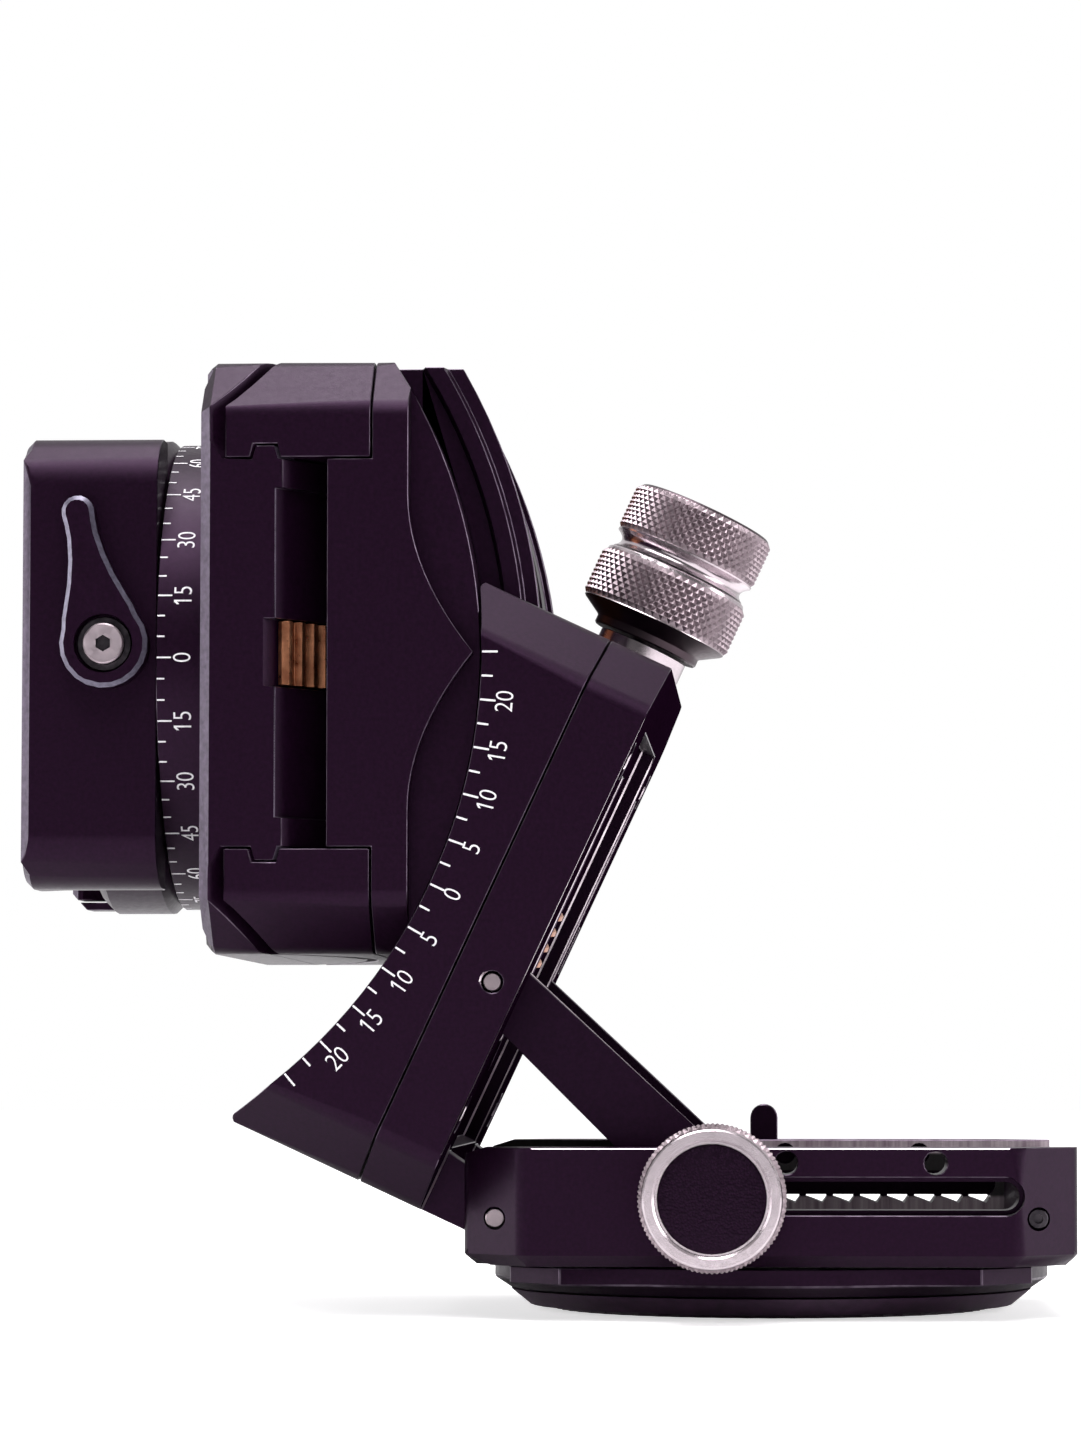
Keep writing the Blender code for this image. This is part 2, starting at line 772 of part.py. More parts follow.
def make_base_frame(parent):
    outline = octagon(stage_side, base_corner_cut, 2 * base_end)
    frame = slab("base_frame", parent, outline, base_low, base_top, "XY")
    lowest = -base_frame_height / 2 + fit_gap
    bevel_edges(frame, lambda spot: spot.z < lowest, base_frame_chamfer)
    below = base_low - cut_overrun
    above = base_top + cut_overrun
    sill_end = base_sill_length - half_side
    cavity = box(
        "base_cavity",
        parent,
        (sill_end, -rail_inner, below),
        (base_end - base_end_wall, rail_inner, above),
    )
    cut(frame, cavity)
    end_step = box(
        "end_wall_step",
        parent,
        (base_end - base_end_wall - cut_overrun, -rail_inner, base_top - base_end_drop),
        (base_end + cut_overrun, rail_inner, above),
    )
    cut(frame, end_step)
    hinge_opening = box(
        "hinge_opening",
        parent,
        (-base_end - cut_overrun, -rail_inner, base_low + base_sill_height),
        (sill_end + cut_overrun, rail_inner, above),
    )
    cut(frame, hinge_opening)
    relief_left = -base_end - hinge_relief_length / 2
    relief_top = base_top + hinge_relief_depth / 2
    hinge_relief = slab(
        "hinge_relief",
        parent,
        [
            (relief_left, relief_top - 2 * hinge_relief_depth),
            (relief_left + 2 * hinge_relief_length, relief_top),
            (relief_left, relief_top),
        ],
        -half_side - cut_overrun,
        half_side + cut_overrun,
        "XZ",
    )
    cut(frame, hinge_relief)
    for side in (-1, 1):
        ends = sorted((side * (arm_inner - fit_gap), side * rail_inner))
        pocket = box(
            f"arm_pocket_{side}",
            parent,
            (base_end - base_end_wall - cut_overrun, ends[0], below),
            (base_end - arm_pocket_wall, ends[1], above),
        )
        cut(frame, pocket)
    slot_ends = ((-lock_rest_x, slot_z), (lock_closed_x, slot_z))
    outer_slot = slab(
        "slot_outer",
        parent,
        stadium(*slot_ends, slot_radius),
        -half_side - cut_overrun,
        -half_side + slot_outer_depth,
        "XZ",
    )
    cut(frame, outer_slot)
    inner_slot = slab(
        "slot_inner",
        parent,
        stadium(*slot_ends, slot_inner_radius),
        -half_side,
        -rail_inner + cut_overrun,
        "XZ",
    )
    cut(frame, inner_slot)
    far_slot = slab(
        "slot_far",
        parent,
        stadium(*slot_ends, slot_inner_radius),
        rail_inner - cut_overrun,
        rail_inner + slot_far_depth,
        "XZ",
    )
    cut(frame, far_slot)
    for i in range(notch_count):
        left = notch_right_x - notch_width - i * notch_pitch
        notch = slab(
            f"notch_{i}",
            parent,
            notch_outline(left),
            rail_inner - cut_overrun,
            half_side + cut_overrun,
            "XZ",
        )
        cut(frame, notch)
    for i, x in enumerate(rail_hole_xs):
        hole = rod(
            f"rail_hole_{i}",
            parent,
            rail_hole_radius,
            (x, -half_side - cut_overrun, base_top - rail_hole_drop),
            stage_side - rail_thickness + cut_overrun + slot_far_depth,
            "Y",
        )
        cut(frame, hole)
    pin_hole = rod(
        "fold_pin_hole",
        parent,
        fold_pin_radius + fit_gap,
        (fold_x, -half_side - cut_overrun, fold_z),
        stage_side + 2 * cut_overrun,
        "Y",
    )
    cut(frame, pin_hole)
    for side in (-1, 1):
        start = -half_side if side < 0 else end_screw_start() - fit_gap
        hole = rod(
            f"end_screw_hole_{side}",
            parent,
            end_screw_radius + fit_gap,
            (half_side - end_screw_inset, start, base_top - end_screw_drop),
            half_side - end_screw_start() + fit_gap,
            "Y",
        )
        cut(frame, hole)
    for i, (x, y) in enumerate(screw_places()):
        hole = rod(
            f"base_screw_hole_{i}",
            parent,
            screw_shank_radius + fit_gap,
            (x, y, below),
            screw_grip_length + fit_gap + cut_overrun,
            "Z",
        )
        cut(frame, hole)
    tab_slot = box(
        "tab_slot",
        parent,
        (
            tab_x - tab_width / 2 - fit_gap,
            tab_y() - tab_thickness / 2 - fit_gap,
            base_top - tab_root - fit_gap,
        ),
        (
            tab_x + tab_width / 2 + fit_gap,
            tab_y() + tab_thickness / 2 + fit_gap,
            above,
        ),
    )
    cut(frame, tab_slot)
    return frame


def tab_y():
    return half_side - rail_thickness / 2


def corner_face(inset):
    """How far from the middle line a cut corner lies, at an inset from the stage side."""
    return base_end - base_corner_cut + inset


def end_screw_start():
    """The inner end of an end screw, which is sunk below the cut corner."""
    return corner_face(end_screw_inset) - end_screw_sink - end_screw_length


def make_locating_tab(parent):
    radius = tab_width / 2
    top = base_top + tab_rise - radius
    outline = [(tab_x - radius, base_top - tab_root), (tab_x + radius, base_top - tab_root)]
    for i in range(13):
        angle = math.pi * i / 12
        outline.append((tab_x + radius * math.cos(angle), top + radius * math.sin(angle)))
    return slab(
        "locating_tab",
        parent,
        outline,
        tab_y() - tab_thickness / 2,
        tab_y() + tab_thickness / 2,
        "XZ",
    )


def make_fold_pin(parent):
    reach = corner_face(fold_pin_inset) - fold_pin_sink
    return rod(
        "fold_pin", parent, fold_pin_radius, (fold_x, -reach, fold_z), 2 * reach, "Y"
    )


def make_end_screw(parent, name, side):
    profile = [
        (0, -screw_socket_depth),
        (end_screw_radius / 2, -screw_socket_depth),
        (end_screw_radius / 2, 0),
        (end_screw_radius, 0),
        (end_screw_radius, -end_screw_length),
        (0, -end_screw_length),
    ]
    outer = side * (end_screw_start() + end_screw_length)
    place = (half_side - end_screw_inset, outer, base_top - end_screw_drop)
    screw = turned(name, parent, profile, place, steps=small_round_steps)
    screw.rotation_euler = (-side * math.pi / 2, 0, 0)
    return screw


# Lock shaft, its sliding bush and the lock knob


def make_lock_shaft(parent):
    start = -half_side - lock_bore_length + fit_gap
    return rod(
        "lock_shaft",
        parent,
        lock_shaft_radius,
        (0, start, 0),
        rail_inner + slot_far_depth - fit_gap - start,
        "Y",
    )


def make_slide_bush(parent):
    bush = rod(
        "slide_bush",
        parent,
        slot_radius - fit_gap,
        (0, -half_side, 0),
        slot_outer_depth - fit_gap,
        "Y",
    )
    bore = rod(
        "bush_bore",
        parent,
        lock_shaft_radius + fit_gap,
        (0, -half_side - cut_overrun, 0),
        slot_outer_depth + 2 * cut_overrun,
        "Y",
    )
    cut(bush, bore)
    return bush


def make_lock_knob(parent):
    high = lock_knob_length
    back = fit_gap
    profile = [
        (0, high - lock_inset_depth),
        (lock_inset_radius + fit_gap, high - lock_inset_depth),
        (lock_inset_radius + fit_gap, high),
        (lock_knob_radius - lock_knob_bevel, high),
        (lock_knob_radius, high - lock_knob_bevel),
        (lock_knob_radius, back + lock_knob_back_length),
        (lock_knob_back_radius, back),
        (lock_shaft_radius + fit_gap, back),
        (lock_shaft_radius + fit_gap, lock_bore_length),
        (0, lock_bore_length),
    ]
    return turned("lock_knob", parent, profile, (0, 0, 0), steps=48)


def make_lock_knob_inset(parent):
    low = lock_knob_length - lock_inset_depth + fit_gap
    rim = lock_knob_length - lock_inset_crown - fit_gap
    profile = []
    for i in range(5):
        share = i / 4
        crown = lock_inset_crown * math.cos(share * math.pi / 2)
        profile.append((lock_inset_radius * share, rim + crown))
    profile += [(lock_inset_radius, low), (0, low)]
    return turned("lock_knob_inset", parent, profile, (0, 0, 0))


# Fold link: two arms and the bar between them


def make_link_arm(parent, name, side):
    """A tapered arm from the frame's pin to the big eye round the lock shaft."""
    top = link_top_width / 2
    low = link_low_width / 2
    ends = sorted((side * arm_inner, side * arm_outer))
    outline = []
    for i in range(13):
        angle = math.pi / 2 + math.pi * i / 12
        outline.append((top * math.cos(angle), top * math.sin(angle)))
    outline += [(link_length, -low), (link_length, low)]
    arm = slab(name, parent, outline, *ends, "XZ")
    eye = rod(
        name + "_eye",
        parent,
        link_eye_radius,
        (link_length, ends[0], 0),
        link_thickness,
        "Y",
        36,
    )
    join(arm, eye)
    holes = (
        ("eye", link_eye_bore, link_length, 36),
        ("pin", link_pin_radius + fit_gap, 0, small_round_steps),
    )
    for what, radius, x, steps in holes:
        hole = rod(
            f"{name}_{what}_hole",
            parent,
            radius,
            (x, ends[0] - cut_overrun, 0),
            link_thickness + 2 * cut_overrun,
            "Y",
            steps,
        )
        cut(arm, hole)
    return arm


def make_link_spacer(parent):
    reach = arm_inner - fit_gap
    place = (link_length * link_spacer_share, -reach, 0)
    return rod("link_spacer", parent, link_spacer_radius, place, 2 * reach, "Y")


# Tilting frame


def lug_outline():
    """A hinge lug seen from the side, in the frame's own coordinates."""
    radius = fold_pin_inset
    points = [(lug_root_width, fit_gap), (0, fit_gap)]
    for i in range(9):
        angle = math.pi + math.pi * i / 8
        x = fold_pin_inset + radius * math.cos(angle)
        points.append((x, -hinge_drop + radius * math.sin(angle)))
    return points


def make_frame_block(parent):
    block = slab(
        "frame_block",
        parent,
        [(x + half_side, y) for x, y in octagon(stage_side, corner_cut)],
        0,
        frame_block_height,
        "XY",
    )
    for side in (-1, 1):
        ends = sorted((side * (arm_outer - lug_thickness), side * arm_outer))
        lug = slab(f"hinge_lug_{side}", parent, lug_outline(), *ends, "XZ")
        join(block, lug)
    boss = box(
        "bearing_boss",
        parent,
        (
            stage_side - bearing_boss_length,
            -bearing_boss_half_width,
            frame_block_height / 2,
        ),
        (
            stage_side,
            bearing_boss_half_width,
            frame_block_height + bearing_boss_rise,
        ),
    )
    join(block, boss)
    recess_side = arm_inner - fit_gap - frame_recess_wall
    recess = box(
        "frame_recess",
        parent,
        (frame_recess_end, -recess_side, -cut_overrun),
        (stage_side - frame_recess_end, recess_side, frame_recess_depth),
    )
    cut(block, recess)
    for side in (-1, 1):
        ends = sorted((side * (arm_inner - fit_gap), side * (arm_outer + fit_gap)))
        slot = box(
            f"arm_slot_{side}",
            parent,
            (arm_slot_start, ends[0], -cut_overrun),
            (arm_slot_end, ends[1], frame_block_height - arm_slot_web),
        )
        cut(block, slot)
    window_half = worm_length / 2 + fit_gap
    window = box(
        "worm_window",
        parent,
        (half_side - window_half, -lower_worm_radius - fit_gap, -cut_overrun),
        (
            half_side + window_half,
            lower_worm_radius + fit_gap,
            frame_block_height + cut_overrun,
        ),
    )
    cut(block, window)
    top = frame_block_height + cut_overrun
    bush_half = worm_bush_radius + fit_gap
    bush_pocket = box(
        "bush_pocket",
        parent,
        (
            half_side - window_half - worm_bush_length - 2 * fit_gap,
            -bush_half,
            worm_height - bush_half,
        ),
        (half_side - window_half + fit_gap, bush_half, top),
    )
    cut(block, bush_pocket)
    shaft_half = worm_shaft_radius + fit_gap
    shaft_channel = box(
        "shaft_channel",
        parent,
        (half_side, -shaft_half, worm_height - shaft_half),
        (stage_side - bearing_boss_length + cut_overrun, shaft_half, top),
    )
    cut(block, shaft_channel)
    shaft_bore = rod(
        "shaft_bore",
        parent,
        shaft_half,
        (half_side + window_half, 0, worm_height),
        half_side - window_half + cut_overrun,
        "X",
        32,
    )
    cut(block, shaft_bore)
    pin_hole = rod(
        "lug_pin_hole",
        parent,
        fold_pin_radius + fit_gap,
        (fold_pin_inset, -half_side, -hinge_drop),
        stage_side,
        "Y",
    )
    cut(block, pin_hole)
    for side in (-1, 1):
        start = min(side * (arm_inner - fit_gap), side * (half_side + cut_overrun))
        hole = rod(
            f"link_pin_hole_{side}",
            parent,
            link_pin_radius + fit_gap,
            (link_pin_along, start, link_pin_height),
            half_side + cut_overrun - arm_inner + fit_gap,
            "Y",
        )
        cut(block, hole)
    for i, (x, y) in enumerate(cradle_screw_places()):
        head = rod(
            f"cradle_head_hole_{i}",
            parent,
            screw_head_radius + fit_gap,
            (x, y, -cut_overrun),
            screw_head_height + 2 * fit_gap + cut_overrun,
            "Z",
        )
        cut(block, head)
        shank = rod(
            f"cradle_shank_hole_{i}",
            parent,
            screw_shank_radius + fit_gap,
            (x, y, fit_gap),
            frame_block_height + cut_overrun,
            "Z",
        )
        cut(block, shank)
    swing = base_top + tab_rise - fold_z
    tab_centre = tab_x - fold_x + fold_pin_inset
    swing_back = tab_rise * swing / (tab_centre - fold_pin_inset)
    tab_pocket = box(
        "tab_pocket",
        parent,
        (
            tab_centre - tab_width / 2 - 2 * fit_gap,
            tab_y() - tab_thickness / 2 - 2 * fit_gap,
            -cut_overrun,
        ),
        (
            tab_centre + tab_width / 2 + swing_back + 2 * fit_gap,
            tab_y() + tab_thickness / 2 + 2 * fit_gap,
            tab_rise + fit_gap,
        ),
    )
    cut(block, tab_pocket)
    return block


def cradle_screw_places():
    xs = (cradle_screw_inset, stage_side - cradle_screw_inset)
    return [(x, y) for x in xs for y in (-cradle_screw_y, cradle_screw_y)]


def make_cradle_screw(parent, number, x, y):
    profile = screw_profile(
        screw_head_radius,
        screw_head_height,
        screw_shank_radius,
        frame_block_height + screw_grip_length / 2,
    )
    screw = turned(
        f"cradle_screw_{number}",
        parent,
        profile,
        (x, y, fit_gap),
        steps=small_round_steps,
    )
    screw.rotation_euler = (math.pi, 0, 0)
    return screw


def lower_ridge_section(grow):
    """(radius, reach) corners of the lower arc's guide ridge, wider by grow all round."""
    start = lower_radius + lower_ridge_start - grow
    end = start + ridge_width + 2 * grow
    reach = body_half + ridge_reach + grow
    tip = [(start + ridge_slope, reach), (end - ridge_slope, reach)]
    return [(start, body_half), *tip, (end, body_half)]


def make_lower_cradle(parent, name, side):
    """A cradle bracket: concave above, flat below, with a groove for the guide ridge."""
    centre = (half_side, arc_centre_height)
    tip_height = arc_centre_height - lower_radius * math.cos(lower_tip_angle)
    arc = arc_points(lower_radius, -lower_tip_angle, lower_tip_angle, 30, centre)
    left_tip = rounded_corner((0, cradle_low), (0, tip_height), arc[1], cradle_tip_round)
    right_tip = rounded_corner(
        arc[-2], (stage_side, tip_height), (stage_side, cradle_low), cradle_tip_round
    )
    trimmed = [p for p in arc[1:-1] if left_tip[-1][0] < p[0] < right_tip[0][0]]
    outline = [(0, cradle_low), *left_tip, *trimmed, *right_tip, (stage_side, cradle_low)]
    ends = sorted((side * cradle_inner, side * half_side))
    cradle = slab(name, parent, outline, *ends, "XZ")
    envelope = slab(
        name + "_envelope",
        parent,
        [(x + half_side, y) for x, y in octagon(stage_side, corner_cut)],
        0,
        arc_centre_height,
        "XY",
    )
    keep_inside(cradle, envelope)
    ridge = lower_ridge_section(slide_gap)
    root = [(radius, cradle_inner - cut_overrun) for radius in (ridge[3][0], ridge[0][0])]
    section = [(radius, side * reach) for radius, reach in ridge + root]
    swing = lower_tip_angle + arc_overrun_angle
    groove = swept(name + "_groove", parent, section, swing, "Y", 32)
    groove.location = (*centre[:1], 0, centre[1])
    cut(cradle, groove)
    for i, (x, y) in enumerate(cradle_screw_places()):
        if y * side < 0:
            continue
        hole = rod(
            f"{name}_screw_hole_{i}",
            parent,
            screw_shank_radius + fit_gap,
            (x, y, cradle_low - cut_overrun),
            screw_grip_length / 2 + cut_overrun + 2 * fit_gap,
            "Z",
        )
        cut(cradle, hole)
    return cradle


def make_link_pin(parent, name, side):
    ends = sorted((side * (half_side - pin_end_inset), side * (arm_inner + fit_gap)))
    place = (link_pin_along, ends[0], link_pin_height)
    return rod(name, parent, link_pin_radius, place, ends[1] - ends[0], "Y")


# Worms, their bushes and the double drive knobs


def make_worm_bush(parent, name, start):
    profile = ring_profile(
        worm_bush_radius, worm_shaft_radius + fit_gap, start, start + worm_bush_length
    )
    return turned(name, parent, profile, (0, 0, 0), closed=True, steps=24)


def make_worm_shaft(parent, name, low, high):
    return rod(name, parent, worm_shaft_radius, (0, 0, low), high - low, "Z")


def make_collar(parent, name, start):
    profile = ring_profile(
        collar_radius, worm_shaft_radius + fit_gap, start, start + collar_length
    )
    return turned(name, parent, profile, (0, 0, 0), closed=True)


def make_release_ring(parent, name, start):
    low = start + fit_gap
    cone = low + ring_boss_length
    full = cone + ring_cone_length
    high = full + ring_length
    bore = worm_shaft_radius + fit_gap
    profile = [
        (bore, high),
        (ring_radius - drive_bevel / 2, high),
        (ring_radius, high - drive_bevel / 2),
        (ring_radius, full),
        (ring_boss_radius, cone),
        (ring_boss_radius, low),
        (bore, low),
    ]
    return turned(name, parent, profile, (0, 0, 0), closed=True)


def make_drive_knob(parent, name, start):
    low = start + fit_gap
    full = low + neck_length
    high = full + drive_length
    bore = worm_shaft_radius + fit_gap
    profile = [
        (0, high),
        (drive_radius - drive_bevel, high),
        (drive_radius, high - drive_bevel),
        (drive_radius, full),
        (neck_radius, full),
        (neck_radius, low),
        (bore, low),
        (bore, low + drive_bore_length),
        (0, low + drive_bore_length),
    ]
    return turned(name, parent, profile, (0, 0, 0))


# Middle block: the lower arc's moving body, with the upper arc's trough in it


def lower_body_section():
    """(radius, along) corners of the lower arc's moving body, from one side to the other."""
    sliding = lower_radius - slide_gap
    foot = lower_radius + lower_body_depth
    recess = foot - body_foot_depth
    channel = lower_rack_seat() - slide_gap
    wing = half_side - wing_recess
    foot_edge = body_half - body_foot_width
    deep = middle_bottom - pointer_reach / 2
    half = [
        (deep, wing),
        (sliding, wing),
        (sliding, body_half),
        *lower_ridge_section(0),
        (foot, body_half),
        (foot, foot_edge),
        (recess, foot_edge),
        (recess, lower_channel_half_width),
        (channel, lower_channel_half_width),
    ]
    return [(r, -t) for r, t in half] + [(r, t) for r, t in reversed(half)]


def lower_rack_seat():
    return lower_radius + lower_body_depth - lower_channel_depth + slide_gap


def pointer_outline(side):
    """The pointer's outline: a bell curve that ends in a sharp tip over the scale."""
    steps = 12
    top = -(middle_bottom - pointer_thickness)
    points = [(pointer_half_width, top), (-pointer_half_width, top)]
    for i in range(-steps, steps + 1):
        share = 1 - abs(i) / steps
        drop = pointer_reach * share**pointer_power
        points.append((pointer_half_width * i / steps, -middle_bottom - drop))
    return points


def make_middle_block(parent):
    block = slab(
        "middle_block",
        parent,
        octagon(stage_side, corner_cut),
        -middle_bottom,
        -middle_top,
        "XY",
    )
    swing = rod(
        "middle_swing",
        parent,
        lower_radius - slide_gap,
        (0, -half_side - cut_overrun, 0),
        stage_side + 2 * cut_overrun,
        "Y",
        120,
    )
    keep_inside(block, swing)
    reach = lower_tip_angle + arc_overrun_angle / 2
    arc = swept("lower_arc_body", parent, lower_body_section(), reach, "Y", 30)
    arc_envelope = slab(
        "lower_arc_envelope",
        parent,
        octagon(stage_side, corner_cut),
        -arc_centre_height,
        -middle_bottom + pointer_thickness,
        "XY",
    )
    keep_inside(arc, arc_envelope)
    join(block, arc)
    for side in (-1, 1):
        ends = sorted((side * half_side, side * (half_side - pointer_thickness)))
        pointer = slab(f"pointer_{side}", parent, pointer_outline(side), *ends, "XZ")
        join(block, pointer)
        ends = sorted((side * body_half, side * (half_side + cut_overrun)))
        shelf = box(
            f"cradle_shelf_{side}",
            parent,
            (ends[0], -half_side - cut_overrun, -cradle_seam - fit_gap),
            (ends[1], half_side + cut_overrun, -middle_top + cut_overrun),
        )
        cut(block, shelf)
    trough = rod(
        "upper_trough",
        parent,
        upper_body_radius + slide_gap,
        (-cradle_inner, 0, 0),
        2 * cradle_inner,
        "X",
        120,
    )
    cut(block, trough)
    for side in (-1, 1):
        section = [(radius, side * reach) for radius, reach in upper_groove()]
        groove = swept(f"trough_groove_{side}", parent, section, upper_tip_angle, "X", 28)
        cut(block, groove)
    window_half = worm_length / 2 + fit_gap
    cavity = box(
        "upper_worm_cavity",
        parent,
        (
            -upper_worm_radius - fit_gap,
            -window_half,
            -upper_worm_depth - upper_worm_radius - fit_gap,
        ),
        (upper_worm_radius + fit_gap, window_half, -middle_top),
    )
    cut(block, cavity)
    shaft_bore = rod(
        "upper_shaft_bore",
        parent,
        worm_shaft_radius + fit_gap,
        (0, -window_half - worm_tail_length, -upper_worm_depth),
        worm_tail_length + window_half + half_side + cut_overrun,
        "Y",
    )
    cut(block, shaft_bore)
    return block


def make_lower_rack(parent):
    half_angle = math.asin((half_side - wing_recess / 2) / lower_rack_radius)
    outline = toothed_outline(
        lower_rack_seat(), lower_rack_radius, tooth_pitch, tooth_depth, half_angle
    )
    return slab("lower_rack", parent, outline, -rack_width / 2, rack_width / 2, "XZ")


# Upper cradles and the upper arc's moving plate


def upper_ridge(grow):
    start = upper_radius + upper_ridge_start - grow
    end = start + upper_ridge_width + 2 * grow
    reach = body_half + ridge_reach + grow
    tip = [(start + ridge_slope, reach), (end - ridge_slope, reach)]
    return [(start, body_half), *tip, (end, body_half)]


def upper_groove():
    """(radius, along) corners of the groove that the upper arc's guide ridge runs in."""
    ridge = upper_ridge(slide_gap)
    inner = cradle_inner - cut_overrun
    return [*ridge, (ridge[3][0], inner), (ridge[0][0], inner)]


def make_upper_cradle(parent, name, side):
    """An upper cradle: a block hollowed to the upper arc, with a groove for its ridge."""
    ends = sorted((side * cradle_inner, side * half_side))
    cradle = box(
        name,
        parent,
        (ends[0], -half_side, -cradle_seam),
        (ends[1], half_side, -upper_tip_depth),
    )
    envelope = slab(
        name + "_envelope",
        parent,
        octagon(stage_side, corner_cut),
        -cradle_seam - cut_overrun,
        -upper_tip_depth + cut_overrun,
        "XY",
    )
    keep_inside(cradle, envelope)
    inner = cradle_inner - cut_overrun
    core = upper_radius / 2
    section = [
        (core, inner),
        (core, half_side + cut_overrun),
        (upper_radius, half_side + cut_overrun),
        (upper_radius, inner),
    ]
    for what, shape in (("hollow", section), ("groove", upper_groove())):
        mirrored = [(radius, side * reach) for radius, reach in shape]
        swing = upper_tip_angle + arc_overrun_angle
        cutter = swept(f"{name}_{what}", parent, mirrored, swing, "X", 36)
        cut(cradle, cutter)
    return cradle


def make_upper_plate(parent):
    """The upper arc's moving body: a flat plate above and a guided arc below."""
    sliding = upper_radius - slide_gap
    relief = sliding - plate_relief_depth
    foot_edge = body_half - body_foot_width
    recess = upper_body_radius - body_foot_depth
    core = plate_top * 3 / 4
    half = [
        (core, half_side + cut_overrun),
        (relief, half_side + cut_overrun),
        (relief, body_half + plate_relief_reach),
        (sliding, body_half),
        *upper_ridge(0),
        (upper_body_radius, body_half),
        (upper_body_radius, foot_edge),
        (recess, foot_edge),
        (recess, rack_width / 2 + fit_gap),
        (upper_rack_seat() - fit_gap, rack_width / 2 + fit_gap),
    ]
    section = [(r, -t) for r, t in half] + [(r, t) for r, t in reversed(half)]
    swing = upper_tip_angle + arc_overrun_angle
    plate = swept("upper_plate", parent, section, swing, "X", 36)
    envelope = slab(
        "upper_plate_envelope",
        parent,
        octagon(stage_side, corner_cut),
        -arc_centre_height,
        -plate_top,
        "XY",
    )
    highest = (arc_centre_height - plate_top) / 2 - fit_gap
    bevel_edges(envelope, lambda spot: spot.z > highest, plate_bevel)
    keep_inside(plate, envelope)
    return plate


def upper_rack_seat():
    return upper_rack_radius - rack_height


def make_upper_rack(parent):
    half_angle = math.asin((half_side - 2 * slide_gap) / upper_rack_radius)
    outline = toothed_outline(
        upper_rack_seat(), upper_rack_radius, tooth_pitch, tooth_depth, half_angle
    )
    return slab("upper_rack", parent, outline, -rack_width / 2, rack_width / 2, "YZ")


# Pan ring, spindle and pan lock


def make_pan_ring(parent):
    low = -(plate_top - fit_gap)
    profile = ring_profile(pan_ring_radius, pan_ring_bore, low, -pan_ring_top)
    ring = turned("pan_ring", parent, profile, (0, 0, 0), closed=True, steps=60)
    hole = rod(
        "pan_lock_hole",
        parent,
        pan_knob_shaft_radius + fit_gap,
        (0, pan_ring_bore - cut_overrun, -pan_knob_depth),
        pan_ring_radius - pan_ring_bore + 2 * cut_overrun,
        "Y",
    )
    cut(ring, hole)
    return ring


def make_pan_spindle(parent):
    low = -(plate_top - fit_gap)
    flange = low + spindle_flange_height
    profile = [
        (0, -spindle_top),
        (spindle_radius, -spindle_top),
        (spindle_radius, flange),
        (pan_ring_bore - fit_gap, flange),
        (pan_ring_bore - fit_gap, low),
        (0, low),
    ]
    return turned("pan_spindle", parent, profile, (0, 0, 0))


def make_pan_lock_screw(parent):
    start = pan_ring_bore + fit_gap
    end = half_side + pan_knob_length / 2
    return rod("pan_lock_screw", parent, pan_knob_shaft_radius, (0, 0, start), end - start, "Z")


def make_pan_lock_knob(parent):
    low = half_side + 2 * fit_gap
    high = low + pan_knob_length
    bore = pan_knob_shaft_radius + fit_gap
    profile = [
        (0, high),
        (pan_knob_radius - drive_bevel, high),
        (pan_knob_radius, high - drive_bevel),
        (pan_knob_radius, low + drive_bevel),
        (pan_knob_radius - drive_bevel, low),
        (bore, low),
        (bore, half_side + pan_knob_length / 2 + fit_gap),
        (0, half_side + pan_knob_length / 2 + fit_gap),
    ]
    return turned("pan_lock_knob", parent, profile, (0, 0, 0), steps=32)


# Clamp with its moving jaw, lever, cam shaft and guide pins


def clamp_plan(side):
    """The clamp's outline from above, with its end corners cut off."""
    along = clamp_half_length
    outer = clamp_half_width
    return [
        (-along, 0),
        (-along, side * (outer - clamp_end_cut)),
        (-along + clamp_end_cut, side * outer),
        (along - clamp_end_cut, side * outer),
        (along, side * (outer - clamp_end_cut)),
        (along, 0),
    ]


def rotor_low():
    return -(pan_ring_top - fit_gap)


